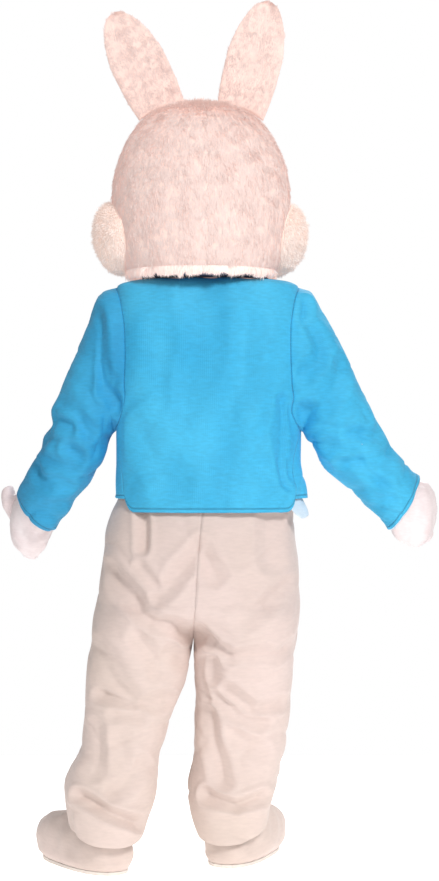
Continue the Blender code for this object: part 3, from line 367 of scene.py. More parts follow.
# How far the skin lies below the solid's surface under the pile, and how far a cuff's lining hangs out
HEAD_PILE = 0.0075
CUFF_SHOWS = 0.004
DOWN = (0.0, 0.0, -1.0)
FUR_TINT = (0.755, 0.615, 0.57)
CREAM_TINT = (0.84, 0.745, 0.70)
# Emission of the hair and of the cloth under it: painted light that lifts the shade in the pile
FUR_PAINTED_LIGHT = 0.18
BACKING_PAINTED_LIGHT = 0.22
# Kinds of pile: length and width of a hair, colour, lean from 0 for upright to 1 for flat, and frizz
FRINGE = (0.023, 0.0022, (0.98, 0.84, 0.78), 0.90, 0.18)
HEAD_HAIR = (0.016, 0.0022, FUR_TINT, 0.84, 0.08)
EAR_BACK_HAIR = (0.010, 0.0020, FUR_TINT, 0.80, 0.12)
EAR_FRONT_HAIR = (0.006, 0.0020, (0.95, 0.62, 0.61), 0.80, 0.12)
CHEEK_HAIR = (0.014, 0.0015, CREAM_TINT, 0.50, 0.18)
MUZZLE_HAIR = (0.008, 0.0015, CREAM_TINT, 0.50, 0.18)
# How much deeper and wider the folds are than their tables say
FOLD_GAIN = 1.3
FOLD_SPREAD = 1.25
# Profile of a fold: shares of its depth, place and widths in half widths, and the depth where ridges end
TROUGH_SHARE = 0.85
LINE_SHARE = 0.22
LINE_WIDTH = 0.40
RIDGE_SHARE = 0.45
RIDGE_PLACE = 1.5
RIDGE_WIDTH = 0.6
RIDGE_ENDS = 0.004
# Number of hairs on each piece
HAIRS = {
    "head_back_left": 33000, "head_back_right": 33000, "face_left": 20000, "face_right": 20000,
    "cheek_left": 11000, "cheek_right": 11000, "muzzle": 7000, "ear": 12000, "fringe": 2200,
}
# Cut pieces: width, length, cloth area where it is given, how each is held, and what it rests on
CUTS = {
    "jacket_back": (0.52, 0.57, 0.257, "draped", ["suit_back_left_cloth", "suit_back_right_cloth"]),
    "jacket_front_left": (0.26, 0.57, 0.096, "draped", ["suit_front_left_cloth"]),
    "jacket_front_right": (0.26, 0.57, 0.094, "draped", ["suit_front_right_cloth"]),
    "sleeve_left": (0.56, 0.54, 0.239, "draped", ["jacket_back_cloth"]),
    "sleeve_right": (0.56, 0.56, 0.251, "draped", ["jacket_back_cloth"]),
    "cuff_lining_left": (0.44, 0.054, None, "draped", ["sleeve_left_cloth"]),
    "cuff_lining_right": (0.44, 0.036, None, "draped", ["sleeve_right_cloth"]),
    "facing_front_right": (0.24, 0.055, 0.0075, "hung", ["jacket_front_right_cloth"]),
    "collar": (0.86, 0.030, None, "folded", ["jacket_back_cloth"]),
    "suit_back_left": (0.42, 1.30, 0.395, "hung", ["jacket_back_cloth"]),
    "suit_back_right": (0.42, 1.32, 0.401, "hung", ["jacket_back_cloth"]),
    "suit_front_left": (0.42, 1.30, 0.362, "hung", ["jacket_front_left_cloth"]),
    "suit_front_right": (0.42, 1.32, 0.372, "hung", ["jacket_front_right_cloth"]),
    "mitt_left": (0.32, 0.20, 0.055, "draped", ["sleeve_left_cloth"]),
    "mitt_right": (0.31, 0.20, 0.053, "draped", ["sleeve_right_cloth"]),
    "mitt_left_thumb": (0.13, 0.075, None, "draped", ["mitt_left_cloth"]),
    "mitt_right_thumb": (0.13, 0.072, None, "draped", ["mitt_right_cloth"]),
    "shoe_left_upper": (0.80, 0.24, 0.134, "draped", ["shoe_left_sole"]),
    "shoe_right_upper": (0.80, 0.24, 0.134, "draped", ["shoe_right_sole"]),
}
# Camera: where it is, how high the photo is at the costume (881 pixels of 2.35 mm), the sensor's height in mm
EYE_PLACE = (-0.0435, 4.5, 1.006 - ORIGIN_HEIGHT)
PHOTO_HEIGHT = 881 * 0.00235
SENSOR_HEIGHT = 24.0
FLOOR_REACH = 1.6
FLOOR_GLOW = 0.76
LAMP_AIM = (0.0, 0.0, -0.35)
WORLD_LIGHT = 0.40
WHITE = (1.0, 1.0, 1.0)
# Studio lights: name, place, size in metres, power in watts
LAMPS = [
    ("key", (-1.9, 4.6, 2.3), 1.2, 196.0),
    ("fill", (3.2, 3.4, 1.2), 2.2, 15.0),
    ("front", (-1.5, -4.5, 2.4), 2.4, 125.0),
]


def smooth_table(rows):
    """Turn rows sorted by their first column into a function of it that has no overshoot between rows."""
    table = np.array(rows, float)
    x, y = table[:, 0], table[:, 1:]
    step = np.diff(x)[:, None]
    slope = np.diff(y, axis=0) / step
    tangent = np.zeros_like(y)
    tangent[0], tangent[-1] = slope[0], slope[-1]
    before, after = slope[:-1], slope[1:]
    same_way = before * after > 0
    safe_before = np.where(same_way, before, 1.0)
    safe_after = np.where(same_way, after, 1.0)
    weight_before = 2 * step[1:] + step[:-1]
    weight_after = step[1:] + 2 * step[:-1]
    mean = (weight_before + weight_after) / (weight_before / safe_before + weight_after / safe_after)
    tangent[1:-1] = np.where(same_way, mean, 0.0)

    def at(value):
        value = np.clip(np.asarray(value, float), x[0], x[-1])
        k = np.clip(np.searchsorted(x, value, side="right") - 1, 0, len(x) - 2)
        width = x[k + 1] - x[k]
        t = ((value - x[k]) / width)[..., None]
        width = width[..., None]
        return (
            y[k] * (1 + 2 * t) * (1 - t) ** 2
            + tangent[k] * width * t * (1 - t) ** 2
            + y[k + 1] * t * t * (3 - 2 * t)
            + tangent[k + 1] * width * t * t * (t - 1)
        )

    return at


def unit(vectors):
    return vectors / np.maximum(np.linalg.norm(vectors, axis=-1, keepdims=True), 1e-12)


def smoothstep(value):
    t = np.clip(value, 0.0, 1.0)
    return t * t * (3 - 2 * t)


def ring_point(middle, half_width, back, front, square, angle):
    """Point on a rounded ring. The angle is zero at the back, and a quarter turn is at +X."""
    s, c = np.sin(angle), np.cos(angle)
    x = middle + half_width * np.sign(s) * np.abs(s) ** (2 / square)
    y = (back + front) / 2 + (back - front) / 2 * np.sign(c) * np.abs(c) ** (2 / square)
    return x, y


def crease_depth(points, folds):
    """Depth of the folds at each point: a soft trough with a sharp line in it, and a low ridge beside it."""
    deepest, ridge = np.zeros(points.shape[:-1]), np.zeros(points.shape[:-1])
    points = points + 0.005 * np.stack([waves(points, 0.11, seed, 8) for seed in (61, 62, 63)], axis=-1)
    for x0, z0, x1, z1, half_width, deep in folds:
        start, run = np.array((x0, z0)), np.array((x1 - x0, z1 - z0))
        away = points[..., (0, 2)] - start
        t = np.clip((away @ run) / (run @ run), 0.0, 1.0)
        gap = np.linalg.norm(away - t[..., None] * run, axis=-1) / (FOLD_SPREAD * half_width)
        profile = TROUGH_SHARE * np.exp(-gap ** 2) + LINE_SHARE * np.exp(-(gap / LINE_WIDTH) ** 2)
        deepest = np.maximum(deepest, deep * profile)
        ridge = np.maximum(ridge, RIDGE_SHARE * deep * np.exp(-((gap - RIDGE_PLACE) / RIDGE_WIDTH) ** 2))
    return FOLD_GAIN * (deepest - ridge * (1 - np.clip(deepest / RIDGE_ENDS, 0.0, 1.0)))


def normals(points, closed):
    """Outward normals of a grid of points. Columns run round from the back by way of +X, rows run up."""
    if closed:
        across = np.roll(points, -1, axis=1) - np.roll(points, 1, axis=1)
    else:
        across = np.gradient(points, axis=1)
    along = np.gradient(points, axis=0)
    return unit(np.cross(along, across))


def outward(tube):
    """Normals of a closed tube that point away from its middle."""
    out = normals(tube, True)
    return out * np.sign((out * (tube - tube.mean(axis=1, keepdims=True))).sum(axis=-1).mean())


def pushed_in(points, out, back_folds, front_folds):
    """Push the creases into the cloth, where it faces the view that they were drawn in."""
    facing = out[..., 1]
    depth = crease_depth(points, back_folds) * smoothstep(facing * 1.6)
    depth = depth + crease_depth(points, front_folds) * smoothstep(-facing * 1.6)
    return points - out * depth[..., None]


def joined_normals(grids, seams, signs):
    """Outward normals of several panels, made equal where their seam columns meet."""
    outs = [normals(grid, False) * sign for grid, sign in zip(grids, signs)]
    for a, column_a, b, column_b in seams:
        meet = np.linalg.norm(grids[a][:, column_a] - grids[b][:, column_b], axis=-1) < 1e-5
        both = unit(outs[a][:, column_a] + outs[b][:, column_b])
        outs[a][:, column_a] = np.where(meet[:, None], both, outs[a][:, column_a])
        outs[b][:, column_b] = np.where(meet[:, None], both, outs[b][:, column_b])
    return outs


def pulled(outer, inner, columns):
    """Pull the seam edges of a patch towards its own middle, so that it stays clear of its neighbour."""
    for grid in (outer, inner):
        for column in columns:
            grid[:, column] += SEAM_HALF_GAP * unit(grid[:, 1 if column == 0 else -2] - grid[:, column])
    return outer, inner


def finer(rows, times, breaks=()):
    """A table with smooth rows between its own, without smoothing across the rows named in breaks."""
    table = np.array(rows, float)
    stops = [0, *breaks, len(table) - 1]
    parts = []
    for first, last in zip(stops[:-1], stops[1:]):
        index = np.arange(first, last + 1)
        at = smooth_table(np.column_stack([index, table[first:last + 1]]))
        parts.append(at(np.linspace(first, last, (last - first) * times + 1)))
    return np.concatenate([part[:-1] for part in parts[:-1]] + [parts[-1]])


def waves(points, size, seed, count=20):
    """Smooth noise about zero: plane waves of about the given size, in seeded directions."""
    rng = np.random.default_rng(seed)
    total = np.zeros(points.shape[:-1])
    for _ in range(count):
        direction = rng.normal(size=3)
        direction *= 2 * math.pi / (size * rng.uniform(0.7, 1.5) * np.linalg.norm(direction))
        total += np.sin(points @ direction + rng.uniform(0.0, 2 * math.pi))
    return total / math.sqrt(count / 2)


def rumple(points, kind):
    """Depth of the small folds: soft waves, and a network of narrow creases."""
    least, height, fade, stretch, wave_deep, wave_size, crease_deep, crease_size, seed = RUMPLES[kind]
    slack = least + (1 - least) * smoothstep((height - points[..., 2]) / fade)
    slant = points * stretch
    creases = np.exp(-((waves(slant, crease_size, seed + 1, 10) / CREASE_WIDTH) ** 2))
    return slack * (wave_deep * waves(slant, wave_size, seed) + crease_deep * creases)


def run_lengths(grid, axis):
    """Distance along a grid's rows or columns, from their first point."""
    steps = np.linalg.norm(np.diff(grid, axis=axis), axis=-1)
    start = np.zeros_like(np.take(steps, [0], axis=axis))
    return np.concatenate([start, np.cumsum(steps, axis=axis)], axis=axis)


def put(name, points, faces, corners, materials):
    """Make one smooth object from faces of three or four points, with the cloth's metres at their corners."""
    mesh = bpy.data.meshes.new(name)
    points = np.asarray(points, float) - (0.0, 0.0, ORIGIN_HEIGHT)
    mesh.from_pydata(points.tolist(), [], [tuple(f) for part in faces for f in part.tolist()])
    mesh.update()
    for material in materials:
        mesh.materials.append(material)
    if corners is not None:
        layer = mesh.uv_layers.new(name="cloth")
        layer.data.foreach_set("uv", np.concatenate([part.reshape(-1, 2) for part in corners]).ravel())
    mesh.polygons.foreach_set("use_smooth", np.ones(len(mesh.polygons), bool))
    return linked(name, mesh)


def shell(name, node, materials, outer, inner, closed=False, capped=False, hole=None):
    """Closed cloth between two grids, which stands for a solid of the frame. A cap can close its last row."""
    tip = np.array([outer[-1].mean(axis=0), inner[-1].mean(axis=0)])
    if closed:
        outer, inner = (np.concatenate([grid, grid[:, :1]], axis=1) for grid in (outer, inner))
    rows, wide = outer.shape[:2]
    around = run_lengths(outer, 1)
    uvs = np.stack([around - around[:, wide // 2][:, None], run_lengths(outer, 0)], axis=-1).reshape(-1, 2)
    points = np.concatenate([outer.reshape(-1, 3), inner.reshape(-1, 3)])
    uvs = np.concatenate([uvs, uvs])
    count = rows * wide
    j, i = np.meshgrid(np.arange(rows - 1), np.arange(wide - 1), indexing="ij")
    keep = np.ones(j.shape, bool)
    if hole is not None:
        keep[hole[0]:hole[0] + hole[2], hole[1]:hole[1] + hole[2]] = False
    a = (j * wide + i)[keep]
    front = np.stack([a, a + 1, a + 1 + wide, a + wide], axis=-1)
    same = np.arange(2 * count + 2)
    if closed:
        last = np.arange(rows) * wide + wide - 1
        same[last] = last - wide + 1
        same[last + count] = last - wide + 1 + count
    merged = same[front]
    edges = [np.stack([merged[:, k], merged[:, (k + 1) % 4]], axis=-1) for k in range(4)]
    tris = np.zeros((0, 3), int)
    if capped:
        row = (rows - 1) * wide + np.arange(wide)
        top = np.stack([row[:-1], row[1:], np.full(wide - 1, 2 * count)], axis=-1)
        low = np.stack([row[1:] + count, row[:-1] + count, np.full(wide - 1, 2 * count + 1)], axis=-1)
        tris = np.concatenate([top, low])
        points = np.concatenate([points, tip])
        uvs = np.concatenate([uvs, uvs[row[:1]], uvs[row[:1]]])
        edges.append(np.stack([same[row[:-1]], same[row[1:]]], axis=-1))
    edges = np.concatenate(edges)
    code = edges[:, 0] * len(points) + edges[:, 1]
    back_code = edges[:, 1] * len(points) + edges[:, 0]
    start, end = edges[~np.isin(back_code, code)].T
    rim = np.stack([end, start, start + count, end + count], axis=-1)
    behind = (front + count)[:, ::-1]
    groups = [np.concatenate([front, rim]), behind, tris]
    if signed_volume(points, [same[group] for group in groups]) < 0:
        groups = [group[:, ::-1] for group in groups]
    shown = [same[group] for group in groups]
    used = np.unique(np.concatenate([group.ravel() for group in shown]))
    place = np.zeros(len(points), int)
    place[used] = np.arange(len(used))
    faces, corners = [place[group] for group in shown], [uvs[group] for group in groups]
    piece = put(name, points[used], faces, corners, materials)
    smooth = np.ones(len(piece.data.polygons), bool)
    smooth[len(front):len(groups[0])] = False
    piece.data.polygons.foreach_set("use_smooth", smooth)
    if len(materials) > 1:
        chosen = np.zeros(len(piece.data.polygons), np.int32)
        chosen[len(groups[0]):len(groups[0]) + len(behind)] = 1
        piece.data.polygons.foreach_set("material_index", chosen)
    return stands_for(piece, node)


def stands_for(piece, node):
    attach(piece, "root")
    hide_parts(node)
    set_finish(piece, node)
    return piece


def cloth(node, materials, outer, inner, **ends):
    """Cloth piece of a node. Its row in the table of cuts is read, but nothing is done with it."""
    piece = shell(node + "_cloth", node, materials, outer, inner, **ends)
    width, length, area, held, rests = CUTS[node]
    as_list(rests)


def signed_volume(points, groups):
    total = 0.0
    for group in groups:
        for k in range(1, group.shape[1] - 1):
            a, b, c = points[group[:, 0]], points[group[:, k]], points[group[:, k + 1]]
            total += float((a * np.cross(b, c)).sum())
    return total


def fur(name, carrier, material, grid, out, count, pile, way_down, seed, closed=False, joints=1):
    """Pile of single hairs on a grid of points with outward normals. With two joints each hair is bent."""
    length, width, tint, lean, frizz = pile
    rng = np.random.default_rng(seed)
    if closed:
        grid = np.concatenate([grid, grid[:, :1]], axis=1)
        out = np.concatenate([out, out[:, :1]], axis=1)
    a, b, c, d = grid[:-1, :-1], grid[:-1, 1:], grid[1:, 1:], grid[1:, :-1]
    area = np.linalg.norm(np.cross(c - a, d - b), axis=-1)
    weight = area.ravel() / area.sum()
    cell = rng.choice(len(weight), count, p=weight)
    j, i = np.unravel_index(cell, area.shape)
    f, g = rng.random((2, count, 1))

    def mixed(field):
        low = field[j, i] * (1 - f) + field[j, i + 1] * f
        high = field[j + 1, i] * (1 - f) + field[j + 1, i + 1] * f
        return low * (1 - g) + high * g

    root, up = mixed(grid), unit(mixed(out))
    down = way_down - up * (up @ np.array(way_down))[:, None]
    swirl = np.stack([waves(root, 0.045, seed + k, 12) for k in (1, 2, 3)], axis=-1)
    tuft = np.stack([waves(root, 0.014, seed + k, 12) for k in (4, 5, 6)], axis=-1)
    way = up * (1 - lean) + down * lean + 0.08 * swirl + 0.07 * tuft + rng.normal(size=(count, 3)) * frizz
    inward = np.minimum((way * up).sum(axis=1) - 0.15, 0.0)
    way = unit(way - up * inward[:, None])
    reach = length * (0.62 + 0.38 * rng.random(count)) * (1 + 0.14 * waves(root, 0.02, seed + 7, 10))
    reach = np.clip(reach, 0.3 * length, 1.35 * length)[:, None]
    flat = np.cross(way, up) + rng.normal(size=(count, 3)) * 0.18
    flat = unit(flat - way * (flat * way).sum(axis=1, keepdims=True)) * width / 2
    root = root - up * 0.001
    points = [root - flat, root + flat]
    # Roots a little darker than the tips: painted shade between the hairs
    if joints == 1:
        points.append(root + way * reach)
        corners = np.array([[0, 1, 2]])
        painted_root_shade = [0.98, 0.98, 1.0]
    else:
        bent = unit(way + down * 0.25 - up * 0.15)
        middle = root + way * reach * 0.5
        points += [middle - flat * 0.8, middle + flat * 0.8, middle + bent * reach * 0.5]
        corners = np.array([[0, 1, 3], [0, 3, 2], [2, 3, 4]])
        painted_root_shade = [0.97, 0.97, 1.0, 1.0, 1.02]
    per = len(points)
    points = np.stack(points, axis=1).reshape(-1, 3) - (0.0, 0.0, ORIGIN_HEIGHT)
    corners = (corners[None] + (np.arange(count) * per)[:, None, None]).reshape(-1, 3)
    single = (0.97 + 0.05 * rng.random(count)) * (1 + 0.02 * waves(root, 0.05, seed + 8, 10))
    shade = (single[:, None] * np.array(painted_root_shade)).reshape(-1, 1)
    colour = np.concatenate([np.array(tint) * shade, np.ones((len(points), 1))], axis=1)
    mesh = bpy.data.meshes.new(name)
    mesh.vertices.add(len(points))
    mesh.vertices.foreach_set("co", points.ravel())
    mesh.loops.add(corners.size)
    mesh.loops.foreach_set("vertex_index", corners.ravel().astype(np.int32))
    mesh.polygons.add(len(corners))
    mesh.polygons.foreach_set("loop_start", (np.arange(len(corners)) * 3).astype(np.int32))
    mesh.update(calc_edges=True)
    tints = mesh.attributes.new("tint", "FLOAT_COLOR", "POINT")
    tints.data.foreach_set("color", np.clip(colour, 0, 1).ravel())
    mesh.materials.append(material)
    piece = linked(name, mesh)
    piece.parent = carrier
    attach(piece, "root")
    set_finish(piece, carrier["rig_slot"])


# Materials


def new_material(name, roughness, **sockets):
    material = bpy.data.materials.new(name)
    material.use_nodes = True
    tree = material.node_tree
    shader = tree.nodes["Principled BSDF"]
    shader.inputs["Roughness"].default_value = roughness
    for socket, value in sockets.items():
        shader.inputs[socket.replace("_", " ")].default_value = value
    return material, tree, shader


def noise(tree, size, detail=3.0, stretch=None, roughness=0.5):
    """Noise of about the given size in metres, in the object's own space."""
    texture = tree.nodes.new("ShaderNodeTexNoise")
    texture.inputs["Scale"].default_value = 1.0 / size
    texture.inputs["Detail"].default_value = detail
    texture.inputs["Roughness"].default_value = roughness
    place = tree.nodes.new("ShaderNodeTexCoord")
    if stretch is None:
        tree.links.new(place.outputs["Object"], texture.inputs["Vector"])
    else:
        mapping = tree.nodes.new("ShaderNodeMapping")
        mapping.inputs["Scale"].default_value = stretch
        tree.links.new(place.outputs["Object"], mapping.inputs["Vector"])
        tree.links.new(mapping.outputs["Vector"], texture.inputs["Vector"])
    return texture.outputs["Fac"]


def ramp(tree, value, low, high, first, second):
    """Colour that goes from first to second as value goes from low to high."""
    node = tree.nodes.new("ShaderNodeValToRGB")
    node.color_ramp.elements[0].position = low
    node.color_ramp.elements[0].color = (*first, 1.0)
    node.color_ramp.elements[1].position = high
    node.color_ramp.elements[1].color = (*second, 1.0)
    tree.links.new(value, node.inputs["Fac"])
    return node.outputs["Color"]


def blended(tree, kind, share, first, second):
    """Two colours mixed by a share, in one of the node's blend modes."""
    node = tree.nodes.new("ShaderNodeMix")
    node.data_type = "RGBA"
    node.blend_type = kind
    for index, value in ((0, share), (6, first), (7, second)):
        if isinstance(value, bpy.types.NodeSocket):
            tree.links.new(value, node.inputs[index])
        elif isinstance(value, tuple):
            node.inputs[index].default_value = (*value, 1.0)
        else:
            node.inputs[index].default_value = value
    return node.outputs[2]


def sums(tree, kind, first, second):
    node = tree.nodes.new("ShaderNodeMath")
    node.operation = kind
    for socket, value in zip(node.inputs, (first, second)):
        if isinstance(value, (int, float)):
            socket.default_value = value
        else:
            tree.links.new(value, socket)
    return node.outputs["Value"]


def bumped(tree, shader, layers):
    """Chain of bumps from (height, distance in metres, strength)."""
    last = None
    for height, distance, strength in layers:
        node = tree.nodes.new("ShaderNodeBump")
        node.inputs["Distance"].default_value = distance
        node.inputs["Strength"].default_value = strength
        tree.links.new(height, node.inputs["Height"])
        if last is not None:
            tree.links.new(last, node.inputs["Normal"])
        last = node.outputs["Normal"]
    tree.links.new(last, shader.inputs["Normal"])


def srgb(*values):
    """Linear colour from eight-bit display values."""
    return tuple((v / 255 / 12.92) if v <= 10 else ((v / 255 + 0.055) / 1.055) ** 2.4 for v in values)


def cloth_material(name, dark, light, roughness, nap, grain, pile, sheen=0.0, sheen_tint=WHITE, hem=None,
                   rumple=0.0, fleck=0.94):
    """Cloth whose colour drifts with its nap, over grain of a given size and depth, with a stitched hem."""
    material, tree, shader = new_material(name, roughness, Sheen_Weight=sheen, Sheen_Roughness=0.4,
                                          Sheen_Tint=(*sheen_tint, 1.0))
    drift = ramp(tree, noise(tree, nap, 2.0, (1.0, 1.0, 0.55)), 0.30, 0.72, dark, light)
    speck = ramp(tree, noise(tree, grain * 4, 2.0, (0.35, 0.35, 1.3)), 0.3, 0.7, (fleck, fleck, fleck), WHITE)
    colour = blended(tree, "MULTIPLY", 1.0, drift, speck)
    layers = [(noise(tree, grain, 2.0), pile, 0.6)]
    if rumple:
        layers.insert(0, (noise(tree, 0.03, 3.0), rumple, 0.6))
    if hem is not None:
        place = tree.nodes.new("ShaderNodeUVMap")
        place.uv_map = "cloth"
        split = tree.nodes.new("ShaderNodeSeparateXYZ")
        tree.links.new(place.outputs["UV"], split.inputs["Vector"])
        away = sums(tree, "ABSOLUTE", sums(tree, "SUBTRACT", split.outputs["Y"], hem), 0.0)
        line = sums(tree, "MINIMUM", sums(tree, "DIVIDE", away, 0.0026), 1.0)
        stitch = sums(tree, "PINGPONG", split.outputs["X"], 0.0022)
        tight = sums(tree, "MULTIPLY", line, sums(tree, "ADD", sums(tree, "MULTIPLY", stitch, 60.0), 0.9))
        colour = blended(tree, "MULTIPLY", 1.0, colour, ramp(tree, line, 0.0, 1.0, (0.70, 0.70, 0.72), WHITE))
        layers.append((tight, 0.0022, 0.9))
    tree.links.new(colour, shader.inputs["Base Color"])
    bumped(tree, shader, layers)
    return material


def fur_material(name, painted_light_colour):
    """Hair coloured by its blades. Its emission is painted light: it stands for the light that thin pile lets
    through, and lifts the shade between blades.
    """
    material, tree, shader = new_material(name, 0.85, Sheen_Weight=0.25, Sheen_Roughness=0.5,
                                          Emission_Color=(*painted_light_colour, 1.0), Emission_Strength=FUR_PAINTED_LIGHT)
    tint = tree.nodes.new("ShaderNodeAttribute")
    tint.attribute_name = "tint"
    drift = ramp(tree, noise(tree, 0.06, 3.0), 0.3, 0.7, (0.95, 0.94, 0.94), WHITE)
    tree.links.new(blended(tree, "MULTIPLY", 1.0, tint.outputs["Color"], drift), shader.inputs["Base Color"])
    return material


def backing_material(name, dark, light, painted_light_colour):
    """Cloth under the pile. Like the hair it glows with painted light, which lifts the shade in the gaps
    between the blades so that they aren't black.
    """
    material = cloth_material(name, dark, light, 0.95, 0.03, 0.002, 0.001)
    shader = material.node_tree.nodes["Principled BSDF"]
    shader.inputs["Emission Color"].default_value = (*painted_light_colour, 1.0)
    shader.inputs["Emission Strength"].default_value = BACKING_PAINTED_LIGHT
    return material


def gloss_material(name, dark, light, roughness, coat):
    material, tree, shader = new_material(name, roughness, Coat_Weight=coat, Coat_Roughness=0.05)
    tree.links.new(ramp(tree, noise(tree, 0.01), 0.3, 0.7, dark, light), shader.inputs["Base Color"])
    bumped(tree, shader, [(noise(tree, 0.002, 2.0), 0.0001, 0.3)])
    return material


# Pieces


def panels(grids, seams, signs, back_folds, front_folds, kind, wall):
    """Outer and inner points of neighbouring panels, with the folds pushed in."""
    outer = []
    for grid, out in zip(grids, joined_normals(grids, seams, signs)):
        outer.append(pushed_in(grid, out, back_folds, front_folds) - out * rumple(grid, kind)[..., None])
    inner = [grid - wall * out for grid, out in zip(outer, joined_normals(outer, seams, signs))]
    return outer, inner


def jacket_grid(heights, start_deg, end_deg, columns):
    """Outer points of the jacket's body between two angles given for every row."""
    share = np.linspace(0.0, 1.0, columns)
    angle = np.radians(start_deg[:, None] * (1 - share) + end_deg[:, None] * share)
    height = heights * np.ones((1, columns))
    section = np.moveaxis(smooth_table(JACKET)(height), -1, 0)
    x, y = ring_point(*section, angle)
    return np.stack([x, y, height], axis=-1)


def build_jacket(velour, lining):
    rows = finer(JACKET_ROWS, JACKET_FINE, (UNDERARM_ROW, TIP_ROW))
    edge = smooth_table(JACKET_FRONT_EDGE)(rows[:, 0])
    wide, half = (columns * JACKET_FINE + 1 for columns in JACKET_COLUMNS)
    rise = BACK_CORNER_RISE * np.interp(np.arange(len(rows)) / JACKET_FINE, (0, 1, 2), (1, 0.35, 0))[:, None]
    side = rows[:, :1] + rise
    corners = np.clip((np.abs(np.linspace(-1.0, 1.0, wide)) - 0.80) / 0.20, 0.0, 1.0) ** 2
    back = jacket_grid(rows[:, :1] + rise * corners, -rows[:, 1], rows[:, 1], wide)
    left = jacket_grid(side, rows[:, 2], edge[:, 0], half)
    right = jacket_grid(side, -rows[:, 2], -edge[:, 1], half)
    seams = ((0, -1, 1, 0), (0, 0, 2, 0))
    outer, inner = panels((back, left, right), seams, (1, 1, -1), JACKET_BACK_FOLDS, JACKET_FRONT_FOLDS,
                          "jacket", JACKET_WALL)
    loops = {}
    for name, panel, column in (("left", 1, -1), ("right", 2, 0)):
        span = slice(UNDERARM_ROW * JACKET_FINE, TIP_ROW * JACKET_FINE + 1)
        loops[name] = np.concatenate([outer[panel][span, 0][::-1][:-1], outer[0][span, column][:-1]])
    names = ("jacket_back", "jacket_front_left", "jacket_front_right")
    for k, columns in ((0, (0, -1)), (1, (0,)), (2, (0,))):
        cloth(names[k], (velour, lining), *pulled(outer[k], inner[k], columns))
    return loops


def sleeve_grid(table, loop):
    """Outer points of a sleeve. Its first ring is the armhole, and the next rings fade into round ones."""
    turn = np.arange(len(loop)) * 2 * math.pi / len(loop)
    c, s = np.cos(turn)[:, None], np.sin(turn)[:, None]
    fade_rings = ARMHOLE_FADE_UNDER + (ARMHOLE_FADE_TOP - ARMHOLE_FADE_UNDER) * (1 + c) / 2
    rings = []
    for k, (x0, z0, x1, z1, y, depth, hang) in enumerate(table):
        middle = np.array(((x0 + x1) / 2, y, (z0 + z1) / 2))
        reach = np.array(((x0 - x1) / 2, 0.0, (z0 - z1) / 2))
        ring = middle + c * reach - s * np.array((0.0, depth, -hang))
        if k == 0:
            first = loop - ring
        rings.append(ring + first * (1 - smoothstep(k / JACKET_FINE / fade_rings)))
    return np.array(rings)


def build_sleeves(loops, cloths, lining, trim):
    for name, table, sign in (("left", LEFT_SLEEVE, -1), ("right", RIGHT_SLEEVE, 1)):
        grid = sleeve_grid(finer(table, JACKET_FINE), loops[name])
        start = smoothstep(np.arange(len(grid)) / JACKET_FINE)[:, None, None]
        out = sign * normals(grid, True)
        folded = pushed_in(grid, out, SLEEVE_BACK_FOLDS, []) - out * rumple(grid, "sleeve")[..., None]
        grid += start * (folded - grid)
        out = sign * normals(grid, True)
        inner = grid - JACKET_WALL * out
        gap = sign * SLEEVE_GAP * (1 - start[..., 0])
        band = slice(-1 - CUFF_BAND_RINGS * JACKET_FINE, None)
        inset = JACKET_WALL + LINING_CLEARANCE
        lower, under = grid[band] - out[band] * inset, grid[band] - out[band] * (inset + LINING_WALL)
        beyond = unit(lower[-1] - lower[-2])
        for points in (lower, under):
            points[-1] += beyond * CUFF_SHOWS
        for points in (grid, inner):
            points[..., 0] -= gap
        cloth("sleeve_" + name, (cloths[name], lining), grid[::-1], inner[::-1], closed=True)
        cloth("cuff_lining_" + name, (trim,), lower, under, closed=True)


def suit_half(table, sign, hem, start_deg, end_deg, columns, rows):
    """Outer points of a quarter of the jumpsuit, from the hem up. Angles run on the wearer's own side."""
    section = smooth_table(table)
    mean, drop, outer_rise, fade_end = hem
    heights = np.repeat(rows[:, None], columns, axis=1)
    split = np.sqrt(1 - (1 - smoothstep((SPLIT_HEIGHT - heights) / (SPLIT_HEIGHT - CROTCH_HEIGHT))) ** 2)
    share = np.linspace(0.0, 1.0, columns)
    start, end = start_deg[:, None], end_deg[:, None]
    seam = np.degrees(np.arcsin(split[:, :1]))
    start = np.where(start <= 0.0, -seam, start)
    end = np.where(end >= 180.0, 180.0 + seam, end)
    angle = np.radians(start * (1 - share) + end * share)
    outer_x, inner_x, back, front = np.moveaxis(section(heights), -1, 0)
    half = np.abs(outer_x - inner_x) / (1 + split)
    x, y = ring_point(inner_x + sign * split * half, sign * half, back, front, SUIT_SQUARE, angle)
    edge = mean - drop * np.cos(angle) + outer_rise * np.sin(angle)
    lift = (edge - rows[0]) * (1 - smoothstep((heights - rows[0]) / (fade_end - rows[0])))
    return np.stack([x, y, heights + lift], axis=-1)


